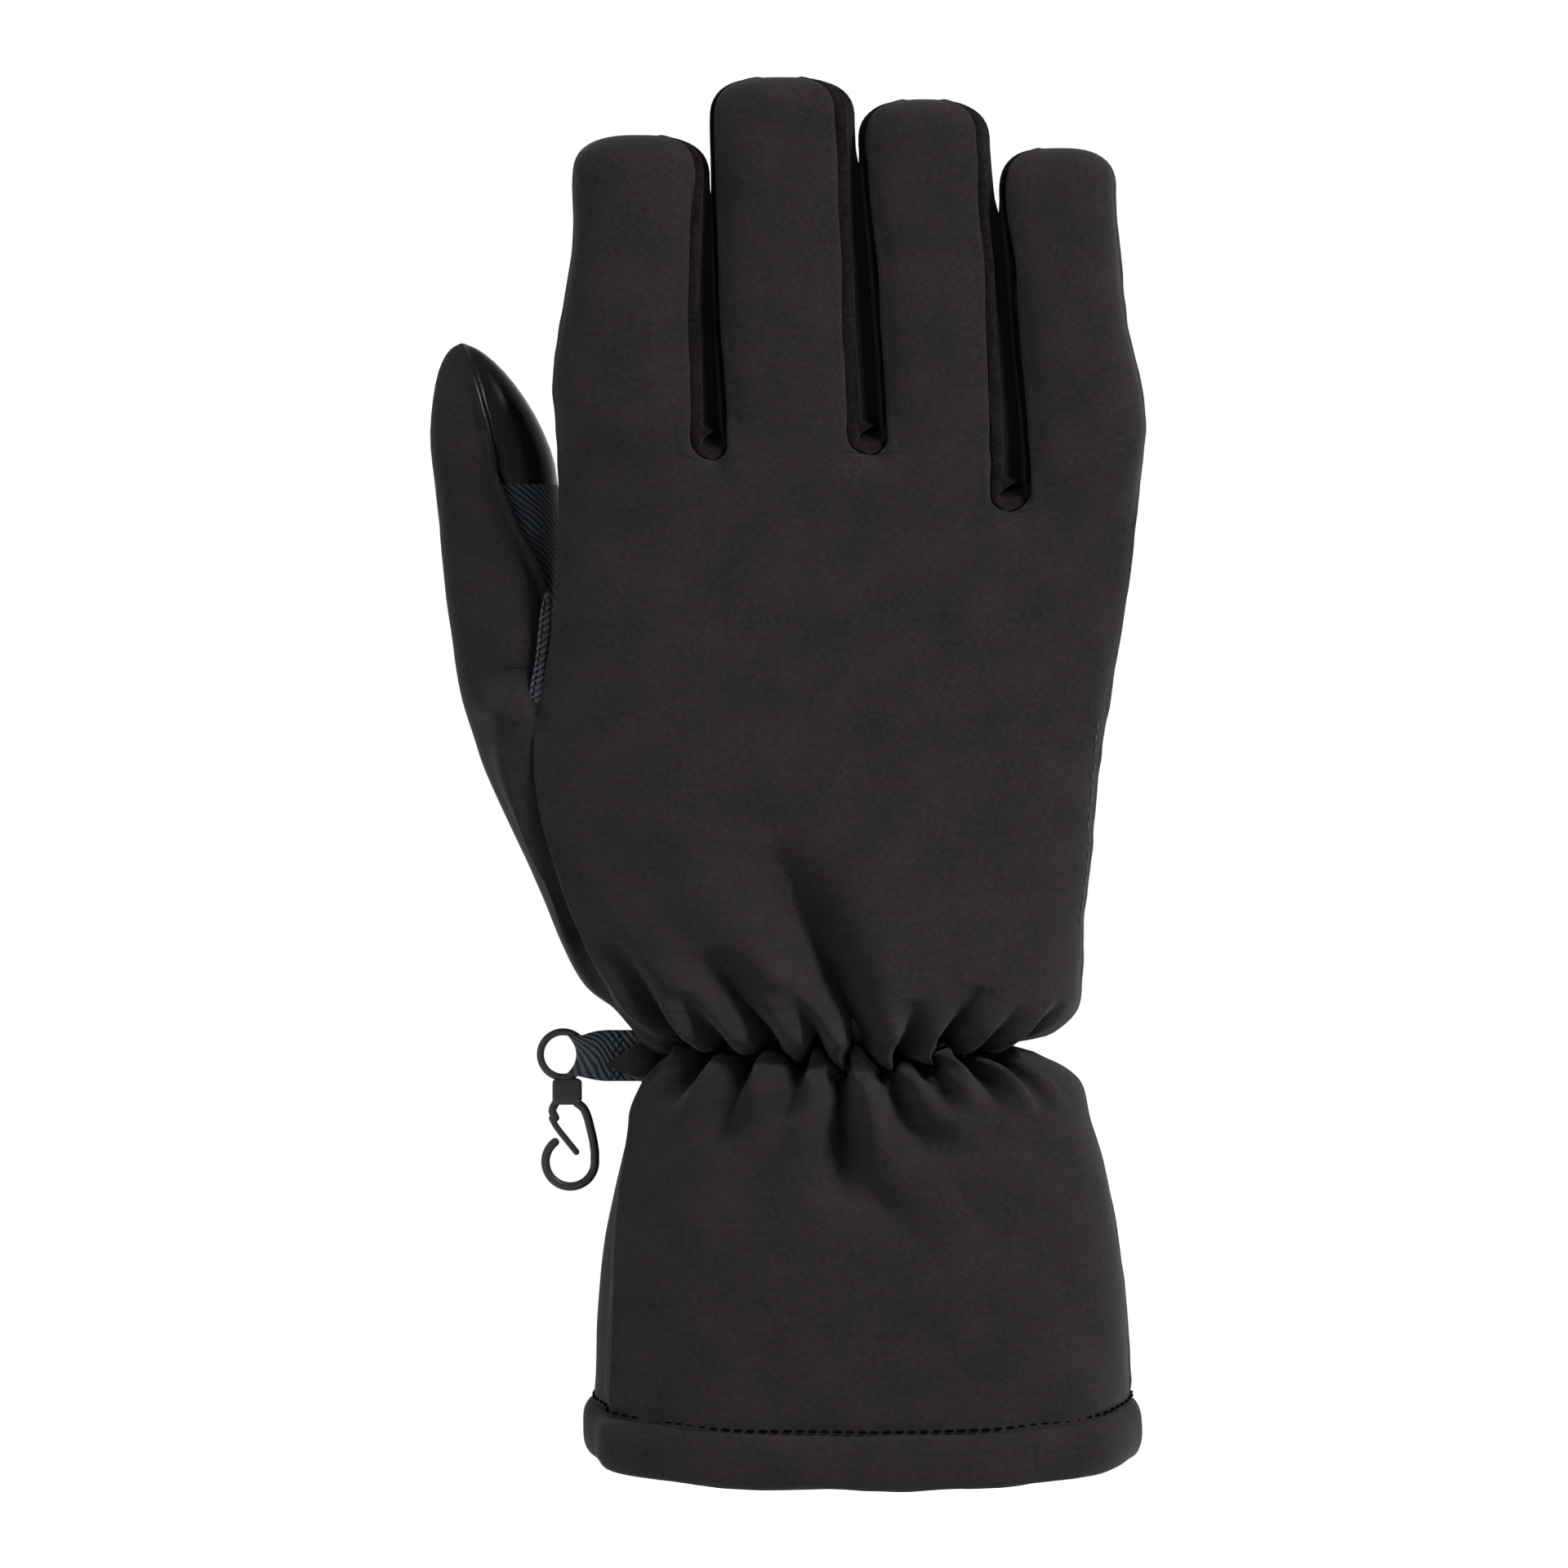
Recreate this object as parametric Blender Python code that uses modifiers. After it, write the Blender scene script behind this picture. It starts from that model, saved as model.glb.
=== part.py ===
"""A padded ski glove for the right hand, standing with its fingers up, as a hand in it holds it.

The row frame is in metres: +X towards the little finger, +Y out of the palm, +Z to the fingertips.
The origin is the centre of the wrist, on the line of the elastic. The tables here are in millimetres.

Every fabric piece is an open sheet, laid out as rows of points across the glove, with a Solidify that
thickens it inwards. The hand is five strips side by side, one below each digit, and each strip turns
from the hand's wide section into its digit's own round one as it comes up to the crotch.
"""

import math

import bmesh
import bpy
from mathutils import Matrix, Vector

MM = 0.001

# Thicknesses and clearances of the layers.
SHELL = 1.7
LINING = 1.2
WALL_CLOTH = 1.3
PADDING = 1.4
SEAM_GAP = 1.3
LAYER_GAP = 0.5

# Exponents of the sections: 2 is an ellipse, more is boxier.
HAND_POWER = 2.5
DIGIT_POWER = 2.7
TIP_POWER = 2.6

# The wrist: panels stop this far above and below the elastic, where the gathered fabric begins.
GATHER_REACH = 12.0
PLEATS = 11
PLEAT_DEPTH = 1.3

CUFF_END = -73.6
HEM_HEIGHT = 10.4
HEM_THICKNESS = 5.6
HEM_SLOPE = 0.11

# Joints, in degrees and millimetres.
KNUCKLE_ABOVE_CROTCH = 10.0
AXIS_DEPTH = 2.0
BACK_BEND = 10.0
JOINT_GAP = 0.5


def smooth(*points):
    """A function that runs smoothly through (place, value) points and is level past both ends."""
    places = [p for p, _ in points]
    values = [v for _, v in points]

    def slope(i):
        a, b = max(i - 1, 0), min(i + 1, len(points) - 1)
        return (values[b] - values[a]) / (places[b] - places[a])

    def value(place):
        if place <= places[0]:
            return values[0]
        if place >= places[-1]:
            return values[-1]
        i = max(k for k in range(len(places) - 1) if places[k] <= place)
        span = places[i + 1] - places[i]
        t = (place - places[i]) / span
        rise = values[i + 1] - values[i]
        return (
            values[i]
            + rise * t * t * (3 - 2 * t)
            + span * t * (1 - t) * (slope(i) * (1 - t) - slope(i + 1) * t)
        )

    return value


def ease(low, high, place):
    """0 before low, 1 after high, and smooth in between."""
    t = min(max((place - low) / (high - low), 0), 1)
    return t * t * (3 - 2 * t)


def mix(a, b, t):
    return a + (b - a) * t


def steps(first, last, count):
    """count + 1 values evenly from first to last."""
    return [mix(first, last, k / count) for k in range(count + 1)]


def signed_power(value, power):
    return math.copysign(abs(value) ** power, value)


# Outline of the glove seen from the back: (height, x) down its two edges. With the thumb's root the
# left edge runs out to the thumb; without it, it is the edge of the hand above the thumb.
LEFT_WITH_THUMB = smooth(
    (-75, -49.0), (-48, -47.3), (-22, -44.3), (-5, -40.3), (0, -39.5), (5, -42.4), (13, -49.9),
    (30, -58.7), (43, -64.6), (56, -70.7), (62, -72.6), (72, -75.0),
)
LEFT_OF_HAND = smooth((30, -56.5), (50, -57.5), (80, -57.0), (95, -56.0), (120, -55.8))
RIGHT = smooth(
    (-75, 56.4), (-45, 54.9), (-26, 51.7), (-14, 48.5), (-3, 42.0), (0, 39.4), (9, 44.2), (18, 46.6),
    (40, 48.5), (56, 50.1), (86, 54.9), (110, 57.8), (125, 58.6),
)
# The seam that joins the back panel to the palm panel, near the left edge.
SEAM_X = smooth(
    (-75, -46.0), (-50, -45.0), (-16, -41.5), (0, -37.2), (8, -42.5), (26, -53.0), (49, -60.3), (65, -61.0)
)
BACK_DEPTH = smooth(
    (-75, 30), (-40, 30), (-14, 27), (0, 23.5), (10, 23), (30, 20), (60, 17), (90, 14.5), (116, 12), (126, 11)
)
PALM_DEPTH = smooth(
    (-75, 30), (-40, 30), (-14, 27), (0, 23.5), (10, 22.5), (30, 20), (60, 17.5), (90, 15), (116, 12), (126, 11)
)
# Where the lines between the fingers cross the hand, as shares of its width.
FINGER_LINES = [0, 0.264, 0.535, 0.78, 1]
THUMB_CROTCH = 65.0


class Digit:
    """A finger or the thumb: its centre line, its section and the heights of its crotches and joints."""

    def __init__(
        self, name, x, y, half_width, half_depth, tip, crotches, seams, middle_joint, round_tip=8.0, root=15.0
    ):
        self.name = name
        self.x, self.y = x, y
        self.half_width, self.half_depth = half_width, half_depth
        self.tip, self.crotches = tip, crotches
        self.seams = seams
        self.knuckle = max(crotches) + KNUCKLE_ABOVE_CROTCH
        self.middle_joint = middle_joint
        self.round_tip = round_tip
        self.root = root

    def centre(self, z):
        return Vector((self.x(z), self.y(z), z))

    def point(self, degrees, z, inset=0.0, swell=1.0):
        """A point of the section at height z: 0 degrees is at +X, 90 on the back, 270 on the palm side."""
        a = (self.half_width(z) - inset) * swell
        b = (self.half_depth(z) - inset) * swell
        c = signed_power(math.cos(math.radians(degrees)), 2 / DIGIT_POWER)
        s = signed_power(math.sin(math.radians(degrees)), 2 / DIGIT_POWER)
        return self.centre(z) + Vector((a * c, -b * s, 0))

    def dome_point(self, degrees, turn, inset=0.0):
        """A point of the rounded tip, turn degrees of the way from its foot (0) to its top (90)."""
        rise = math.sin(math.radians(turn)) ** (2 / TIP_POWER)
        shrink = math.cos(math.radians(turn)) ** (2 / TIP_POWER)
        foot = self.tip - self.round_tip
        point = self.point(degrees, foot, inset, shrink)
        point.z = foot + rise * (self.round_tip - inset)
        return point


def finger(name, x, half_width, tip, crotches, seams, middle_joint):
    base = min(crotches)
    return Digit(
        name,
        smooth((base, x[0]), (tip, x[1])),
        smooth((base, 0), (tip, 0.5)),
        smooth((base, half_width[0]), (tip, half_width[1])),
        smooth((base, 11.2), (tip - 25, 11.0), (tip, 10.2)),
        tip,
        crotches,
        seams,
        middle_joint,
    )


# Seams are the section angles where the side walls start and end: (right on the back, left on the
# back, left on the palm, right on the palm). Where two are equal there is no wall, only a seam.
FINGERS = [
    finger("index", (-41.9, -39.2), (13.6, 13.1), 179.8, (116, 116), (24, 180, 180, 336), 153.0),
    finger("middle", (-10.7, -12.3), (13.8, 13.2), 191.2, (116, 117), (24, 156, 204, 336), 158.0),
    finger("ring", (18.5, 15.4), (12.6, 12.3), 186.8, (117, 106), (24, 156, 204, 336), 157.0),
    finger("little", (46.2, 41.5), (12.1, 11.9), 177.3, (106, 106), (0, 156, 204, 360), 144.0),
]
THUMB = Digit(
    "thumb",
    smooth((20, -50), (40, -58), (65, -66.0), (75, -66.3), (100, -66.8), (120, -68.8), (128, -71.1), (140, -74)),
    smooth((20, 7), (40, 11), (65, 17), (100, 19.5), (140, 20)),
    smooth((20, 8), (65, 8.6), (75, 9.6), (100, 12.4), (120, 12.0), (128, 8.8), (140, 6)),
    smooth((20, 10), (65, 11.2), (100, 11.5), (120, 10.5), (134, 8)),
    139.5,
    (THUMB_CROTCH, THUMB_CROTCH),
    (60, 180, 180, 300),
    104.0,
    round_tip=6.0,
    root=30.0,
)
THUMB.knuckle = 73.0


def hand_angle(share, left, right, z):
    """The section angle on the hand where x is this share of the way between the seam and the right edge."""
    xi = (2 * mix(left, right, share) - left_edge(z) - right) / (right - left_edge(z))
    return math.degrees(math.acos(signed_power(min(max(xi, -1), 1), HAND_POWER / 2)))


def left_edge(z):
    """The left edge of the section: with the thumb's root below the thumb's crotch, and without it above."""
    return mix(LEFT_WITH_THUMB(z), LEFT_OF_HAND(z), ease(THUMB_CROTCH - 7, THUMB_CROTCH + 4, z))


def hand_point(degrees, z, on_palm, inset=0.0, left=None):
    """A point of the hand's or the cuff's section, on its back or its palm side."""
    left = left_edge(z) if left is None else left
    right = RIGHT(z)
    half = (right - left) / 2 - inset
    depth = (PALM_DEPTH(z) if on_palm else -BACK_DEPTH(z)) * (1 - inset / BACK_DEPTH(z))
    x = (left + right) / 2 + half * signed_power(math.cos(math.radians(degrees)), 2 / HAND_POWER)
    y = depth * abs(math.sin(math.radians(degrees))) ** (2 / HAND_POWER)
    return Vector((x, y, z))


def strip_point(number, u, z, on_palm):
    """A point of one of the hand's strips, 0 below the thumb and 1 to 4 below the fingers. u is 0 at its left edge
    and 1 at its right edge."""
    if number == 0:
        left_angle = 180.0
        right_angle = hand_angle(0, SEAM_X(z), RIGHT(z), z)
        digit = THUMB
    else:
        open_side = ease(THUMB_CROTCH - 4, THUMB_CROTCH + 4, z)
        seam = mix(SEAM_X(z), left_edge(z), open_side)
        left_angle = hand_angle(FINGER_LINES[number - 1], seam, RIGHT(z), z)
        right_angle = hand_angle(FINGER_LINES[number], seam, RIGHT(z), z)
        digit = FINGERS[number - 1]
    flat = hand_point(mix(left_angle, right_angle, u), z, on_palm)
    right_back, left_back, left_palm, right_palm = digit.seams
    if on_palm:
        turned = digit.point(mix(left_palm, right_palm, u), z)
    else:
        turned = digit.point(mix(left_back, right_back, u), z)
    crotch = mix(*digit.crotches, u)
    return flat.lerp(turned, ease(crotch - digit.root, crotch, z))


def strip_rows(number, heights, columns, on_palm):
    return [[strip_point(number, u, z, on_palm) for u in steps(0, 1, columns)] for z in heights]


def trim(rows, first=0.0, last=0.0):
    """Moves the ends of each row inwards along it, which leaves a gap to the next panel."""
    for row in rows:
        if first:
            row[0] = row[0] + (row[1] - row[0]).normalized() * first
        if last:
            row[-1] = row[-1] + (row[-2] - row[-1]).normalized() * last
    return rows


def sew(left_rows, right_rows, crotch):
    """Joins two strips along the edge they share, up to the crotch."""
    for left, right in zip(left_rows, right_rows):
        if left[-1].z > crotch + 0.01:
            break
        left[-1] = right[0] = (left[-1] + right[0]) / 2


# ------------------------------------------------------------------------------------------ objects


def clear_scene():
    for old in list(bpy.data.objects):
        bpy.data.objects.remove(old)


def material(name, colour, roughness, metallic=0.0):
    made = bpy.data.materials.get(name) or bpy.data.materials.new(name)
    made.use_nodes = True
    shader = made.node_tree.nodes["Principled BSDF"]
    shader.inputs["Base Color"].default_value = (*colour, 1)
    shader.inputs["Roughness"].default_value = roughness
    shader.inputs["Metallic"].default_value = metallic
    return made


def softshell():
    return material("softshell", (0.028, 0.025, 0.026), 0.85)


def twill():
    return material("ribbed_twill", (0.022, 0.028, 0.032), 0.6)


def leather():
    return material("smooth_leather", (0.015, 0.018, 0.02), 0.4)


def fleece():
    return material("fleece", (0.05, 0.05, 0.052), 0.95)


def plastic():
    return material("black_plastic", (0.03, 0.032, 0.034), 0.35)


def place(name, mesh, finish, collection="ski_glove"):
    obj = bpy.data.objects.new(name, mesh)
    mesh.materials.append(finish)
    home = bpy.data.collections.get(collection)
    if home is None:
        home = bpy.data.collections.new(collection)
        bpy.context.scene.collection.children.link(home)
    home.objects.link(obj)
    mesh.shade_smooth()
    mesh.set_sharp_from_angle(angle=math.radians(40))
    return obj


def sheet_mesh(name, patches, closed=False, cap=None, facing=None):
    """One mesh from patches, each a list of rows of points in millimetres. Rows may close into rings, and cap
    closes the last row with a fan. facing is a function that gives the outward direction at a point."""
    bm = bmesh.new()
    for rows in patches:
        verts = [[bm.verts.new(point * MM) for point in row] for row in rows]
        for lower, upper in zip(verts, verts[1:]):
            count = len(lower)
            for k in range(count if closed else count - 1):
                n = (k + 1) % count
                bm.faces.new((lower[k], lower[n], upper[n], upper[k]))
        if cap is not None:
            top = bm.verts.new(cap * MM)
            for k in range(len(verts[-1])):
                bm.faces.new((verts[-1][k], verts[-1][(k + 1) % len(verts[-1])], top))
    bmesh.ops.remove_doubles(bm, verts=bm.verts, dist=0.00002)
    bmesh.ops.recalc_face_normals(bm, faces=bm.faces)
    if facing is not None:
        outward = sum(
            face.normal.dot(facing(face.calc_center_median() / MM)) * face.calc_area() for face in bm.faces
        )
        if outward < 0:
            bmesh.ops.reverse_faces(bm, faces=bm.faces)
    mesh = bpy.data.meshes.new(name)
    bm.to_mesh(mesh)
    bm.free()
    return mesh


def sheet(name, patches, finish, thickness, facing, closed=False, cap=None, collection="ski_glove"):
    """A fabric piece: an open sheet whose Solidify grows inwards from its outer face."""
    obj = place(name, sheet_mesh(name, patches, closed, cap, facing), finish, collection)
    solidify = obj.modifiers.new("thickness", "SOLIDIFY")
    solidify.thickness = thickness * MM
    solidify.offset = -1
    return obj


def away_from(axis):
    """The outward direction round a centre line, given as a function of height."""

    def facing(point):
        inside = axis(point.z)
        return Vector((point.x - inside.x, point.y - inside.y, 0))

    return facing


def hand_axis(z):
    return Vector(((left_edge(z) + RIGHT(z)) / 2, 0, z))


# --------------------------------------------------------------------------------------- the fingers


def wall_angles(seam_low, seam_high, columns):
    gap = 5.0
    return steps(seam_low + gap / 2, seam_high - gap / 2, columns)


def panel_angles(digit):
    """The section angles of a digit's panels, with a narrow gap at each seam."""
    right_back, left_back, left_palm, right_palm = digit.seams
    angles = {
        "back": wall_angles(right_back, left_back, 7),
        "palm": wall_angles(left_palm, right_palm, 6),
    }
    if right_back > 0:
        angles["right_wall"] = wall_angles(right_palm - 360, right_back, 3)
    if left_back < 180:
        angles["left_wall"] = wall_angles(left_back, left_palm, 3)
    return angles


def cut_heights(digit, degrees, low, high, count):
    """Heights of a segment's rows at one angle. The rim at the knuckle slants on the back, so that the finger can
    bend back."""
    rims = []
    for height, away, bends_back in ((low, 1, low == digit.knuckle), (high, -1, False)):
        rim = height + away * JOINT_GAP / 2
        if bends_back:
            front = max(0, AXIS_DEPTH - digit.point(degrees, height).y)
            rim += away * front * math.tan(math.radians(BACK_BEND / 2 + 0.6))
        rims.append(rim)
    return steps(*rims, count)


def segment_rows(digit, angles, low, high, count, inset=0.0):
    columns = [[digit.point(a, z, inset) for z in cut_heights(digit, a, low, high, count)] for a in angles]
    return [list(row) for row in zip(*columns)]


PANELS = {
    "back": (softshell, SHELL),
    "palm": (twill, SHELL),
    "right_wall": (softshell, WALL_CLOTH),
    "left_wall": (softshell, WALL_CLOTH),
}


def near_segment(digit):
    """The part of a finger between its knuckle and its middle joint."""
    for panel, angles in panel_angles(digit).items():
        rows = segment_rows(digit, angles, digit.knuckle, digit.middle_joint, 3)
        finish, thickness = PANELS[panel]
        sheet(f"{digit.name}_near_{panel}", [rows], finish(), thickness, away_from(digit.centre))


def dome(digit, angles):
    """Rings of the rounded tip through these angles."""
    return [[digit.dome_point(a, turn) for a in angles] for turn in (0, 28, 52, 72)]


def tip_segment(digit):
    """The part of a finger past its middle joint. The back panel folds over the tip and closes it."""
    angles = panel_angles(digit)
    foot = digit.tip - digit.round_tip
    ring = angles["back"] + angles.get("left_wall", []) + angles["palm"]
    ring += [a + 360 for a in angles.get("right_wall", [])]
    for panel, span in angles.items():
        if panel == "back":
            continue
        rows = segment_rows(digit, span, digit.middle_joint, foot - 0.5, 3)
        finish, thickness = PANELS[panel]
        sheet(f"{digit.name}_tip_{panel}", [rows], finish(), thickness, away_from(digit.centre))
    heights = steps(digit.middle_joint + JOINT_GAP / 2, foot, 3)
    strip = [[digit.point(a, z) for a in angles["back"]] for z in heights]
    make_tip_cap(f"{digit.name}_tip_back", digit, strip, dome(digit, ring), softshell())


def make_tip_cap(name, digit, strip, rings, finish):
    """A strip that runs up one side of a digit and spreads over its tip as a closed dome."""
    bm = bmesh.new()
    strip_verts = [[bm.verts.new(p * MM) for p in row] for row in strip]
    ring_verts = [[bm.verts.new(p * MM) for p in row] for row in rings]
    for lower, upper in zip(strip_verts, strip_verts[1:]):
        for k in range(len(lower) - 1):
            bm.faces.new((lower[k], lower[k + 1], upper[k + 1], upper[k]))
    for lower, upper in zip(ring_verts, ring_verts[1:]):
        for k in range(len(lower)):
            n = (k + 1) % len(lower)
            bm.faces.new((lower[k], lower[n], upper[n], upper[k]))
    top = bm.verts.new((digit.centre(digit.tip)) * MM)
    for k in range(len(ring_verts[-1])):
        bm.faces.new((ring_verts[-1][k], ring_verts[-1][(k + 1) % len(ring_verts[-1])], top))
    bmesh.ops.remove_doubles(bm, verts=bm.verts, dist=0.00002)
    bmesh.ops.recalc_face_normals(bm, faces=bm.faces)
    if top.is_valid and top.normal.z < 0:
        bmesh.ops.reverse_faces(bm, faces=bm.faces)
    mesh = bpy.data.meshes.new(name)
    bm.to_mesh(mesh)
    bm.free()
    obj = place(name, mesh, finish)
    solidify = obj.modifiers.new("thickness", "SOLIDIFY")
    solidify.thickness = SHELL * MM
    solidify.offset = -1
    return obj


def digit_lining(digit, start, inset):
    """The fleece inside a digit: a tube open at its foot and closed at its tip."""
    angles = steps(0, 360, 14)[:-1]
    foot = digit.tip - digit.round_tip
    rows = [[digit.point(a, z, inset) for a in angles] for z in steps(start, foot - 1, 5)]
    rows += [[digit.dome_point(a, turn, inset) for a in angles] for turn in (24, 50, 70)]
    cap = digit.centre(digit.tip - inset)
    sheet(f"{digit.name}_lining", [rows], fleece(), LINING, away_from(digit.centre), closed=True, cap=cap)


# ------------------------------------------------------------------------------------------ the hand

HAND_ROWS = [12.8, 20, 30, 40, 50, 58, 65, 73, 84, 95, 106, 111, 116, 117]


def strip_heights(number):
    digit = FINGERS[number - 1] if number else THUMB
    top = digit.knuckle - JOINT_GAP / 2
    heights = [z for z in HAND_ROWS if z < top - 2.5]
    return heights + [top - 3, top] if number else [z for z in HAND_ROWS if z < 66] + [69, top]


def bend_back_cut(number, rows):
    """Lowers the top rim of a finger's strip on the back, so that the finger can bend back."""
    digit = FINGERS[number - 1]
    for point in rows[-1]:
        front = max(0, AXIS_DEPTH - point.y)
        point.z -= front * math.tan(math.radians(BACK_BEND / 2 + 0.6))
    for point in rows[-2]:
        point.z = min(point.z, digit.knuckle - 4.5)
    return rows


def hand_strips(on_palm):
    """The four finger strips of one side of the hand, sewn together up to the crotches."""
    strips = [strip_rows(n, strip_heights(n), 6, on_palm) for n in (1, 2, 3, 4)]
    for left, right, digit in zip(strips, strips[1:], FINGERS[1:]):
        sew(left, right, digit.crotches[0])
    return strips


def hand_back_panel():
    strips = hand_strips(on_palm=False)
    for n, rows in enumerate(strips, start=1):
        bend_back_cut(n, rows)
    trim(strips[0], first=SEAM_GAP / 2)
    trim(strips[-1], last=SEAM_GAP / 2)
    sheet("hand_back_panel", strips, softshell(), SHELL, away_from(hand_axis))


def hand_palm_panel():
    """The palm, which also wraps round the root of the thumb to the seam on the back."""
    strips = hand_strips(on_palm=True)
    thumb_palm = strip_rows(0, strip_heights(0), 4, True)
    thumb_back = strip_rows(0, strip_heights(0), 3, False)
    sew(thumb_palm, strips[0], THUMB_CROTCH)
    above_thumb = [row for row in strips[0] if row[0].z > THUMB_CROTCH + 0.01]
    trim(above_thumb, first=SEAM_GAP / 2)
    trim(strips[-1], last=SEAM_GAP / 2)
    trim(thumb_back, last=SEAM_GAP)
    sheet("hand_palm_panel", [thumb_back, thumb_palm, *strips], twill(), SHELL, away_from(hand_axis))


def crotch_web(name, left, right, crotch):
    """The U of side wall fabric between two fingers: down one finger, across the crotch and up the other."""
    depth = steps(-1, 1, 4)
    rows = []
    for share in depth:
        wall = 14.0 * share
        heights = [(d.knuckle - JOINT_GAP, (d.knuckle + crotch) / 2, crotch + 2.4) for d in (left, right)]
        path = [left.point(-wall, z) for z in heights[0]]
        up = [right.point(180 + wall, z) for z in heights[1]]
        bottom = (path[-1] + up[-1]) / 2
        bottom.z = crotch + 0.9
        rows.append(path + [bottom] + up[::-1])
    middle = (left.point(0, crotch) + right.point(180, crotch)) / 2

    def facing(point):
        return Vector((middle.x - point.x, 0, crotch + 8 - point.z))

    sheet(name, [rows], softshell(), 1.2, facing)


def thumb_web():
    """The inner wall of the thumb's root, from its crotch up to its joint."""
    angles = steps(42, -42, 6)
    rows = [[THUMB.point(a, z) for a in angles] for z in (68.2, 70.4, THUMB.knuckle - JOINT_GAP)]
    sheet("thumb_web", [rows], twill(), 1.2, away_from(THUMB.centre))


def palm_patch():
    """The reinforcement sewn on the palm, a sheet that lies on the palm panel."""
    rows = [
        [hand_point(a, z, True, inset=-LAYER_GAP - 1.3) for a in steps(124 - abs(z - 60) * 0.3, 52, 6)]
        for z in steps(30, 94, 5)
    ]
    sheet("palm_patch", [rows], leather(), 1.1, away_from(hand_axis))


def back_padding():
    """The padding between the shell and the lining on the back of the hand."""
    rows = [
        [hand_point(a, z, False, SHELL + 3 * LAYER_GAP, LEFT_OF_HAND(z)) for a in steps(146, 40, 8)]
        for z in steps(34, 88, 5)
    ]
    sheet("back_padding", [rows], fleece(), PADDING, away_from(hand_axis))


def lining_left(z):
    return max(LEFT_WITH_THUMB(z), LEFT_OF_HAND(z))


def hand_lining():
    """The fleece tube inside the hand, open to the cuff and to the fingers, with a hole for the thumb."""
    angles = steps(0, 180, 10)
    rows = []
    for z in (-GATHER_REACH, -5, 0, 5, 12, 24, 40, 56, 74, 88, 96):
        inset = SHELL + PADDING + 4 * LAYER_GAP + 1.2 + 2 * (1 - ease(5, 12, abs(z)))
        back = [hand_point(a, z, False, inset, lining_left(z)) for a in angles]
        palm = [hand_point(a, z, True, inset, lining_left(z)) for a in angles[::-1]]
        rows.append(back + palm[1:-1])
    lining = sheet("hand_lining", [rows], fleece(), LINING, away_from(hand_axis), closed=True)
    ring = steps(0, 360, 12)[:-1]
    tube = [[THUMB.point(a, z, inset=1.6) for a in ring] for z in (22, 34, 46, 58, 70)]
    mesh = sheet_mesh("thumb_hole", [tube], closed=True)
    cutter = close_ends(mesh)
    cut = lining.modifiers.new("thumb_hole", "BOOLEAN")
    cut.operation = "DIFFERENCE"
    cut.object = cutter


def close_ends(mesh):
    """A cutter from an open tube: its two ends filled, hidden, in the cutters' collection."""
    bm = bmesh.new()
    bm.from_mesh(mesh)
    bmesh.ops.holes_fill(bm, edges=[e for e in bm.edges if e.is_boundary])
    bmesh.ops.recalc_face_normals(bm, faces=bm.faces)
    bm.to_mesh(mesh)
    bm.free()
    cutter = place("cutter_" + mesh.name, mesh, fleece(), "cutters")
    cutter.hide_render = True
    cutter.display_type = "WIRE"
    return cutter


# ---------------------------------------------------------------------------------- wrist and cuff


def gather_point(degrees, z, on_palm):
    """The gathered fabric: pleats that are deepest on the elastic line and die out away from it."""
    fade = 1 - ease(2, GATHER_REACH, abs(z))
    pleat = math.cos(math.radians(degrees) * 2 * PLEATS) * PLEAT_DEPTH * fade
    return hand_point(degrees, z, on_palm, inset=-pleat)


def wrist_gather(name, on_palm, finish):
    edge = hand_angle(0, SEAM_X(0), RIGHT(0), 0)
    heights = steps(-GATHER_REACH + JOINT_GAP, GATHER_REACH - JOINT_GAP, 4)
    if on_palm:
        angles = steps(1, 179, 40)
        rows = [[gather_point(a, z, True) for a in angles] for z in heights]
        side = steps(180, edge + 2.5, 4)
        rows = [[gather_point(a, z, False) for a in side[::-1]] + row[::-1] for row, z in zip(rows, heights)]
    else:
        rows = [[gather_point(a, z, False) for a in steps(1, edge - 2, 40)] for z in heights]
    sheet(name, [rows], finish, SHELL, away_from(hand_axis))


def wrist_elastic():
    """The stretched elastic band inside the gathered fabric."""
    angles = steps(0, 180, 12)
    rows = []
    for z in (-4, 4):
        inset = SHELL + PLEAT_DEPTH + 0.4
        back = [hand_point(a, 0, False, inset) for a in angles]
        palm = [hand_point(a, 0, True, inset) for a in angles[::-1]]
        rows.append([Vector((p.x, p.y, z)) for p in back + palm[1:-1]])
    band = material("elastic", (0.04, 0.04, 0.04), 0.8)
    sheet("wrist_elastic", [rows], band, 0.9, away_from(hand_axis), closed=True)


def cuff_heights(point):
    return CUFF_END + HEM_SLOPE * (point.y + BACK_DEPTH(CUFF_END))


def cuff_rows(angles, on_palm, inset=0.0):
    """Rows of the cuff from the gathers down to the hem, which slopes up towards the palm."""
    columns = []
    for a in angles:
        end = cuff_heights(hand_point(a, CUFF_END, on_palm, inset))
        columns.append([hand_point(a, z, on_palm, inset) for z in steps(end, -GATHER_REACH, 5)])
    return [list(row) for row in zip(*columns)]


def cuff_panels():
    edge = hand_angle(0, SEAM_X(-40), RIGHT(-40), -40)
    back = cuff_rows(steps(1, edge - 1.5, 12), False)
    sheet("cuff_back_panel", [back], softshell(), SHELL, away_from(hand_axis))
    side = cuff_rows(steps(edge + 1.5, 180, 3), False)
    palm = cuff_rows(steps(180, 1, 12), True)
    sheet("cuff_palm_panel", [side, palm], softshell(), SHELL, away_from(hand_axis))


def ring_angles(count):
    """Section angles once round, as (angle, whether on the palm side)."""
    angles = steps(0, 180, count)
    return [(a, False) for a in angles] + [(a, True) for a in angles[::-1][1:-1]]


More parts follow.
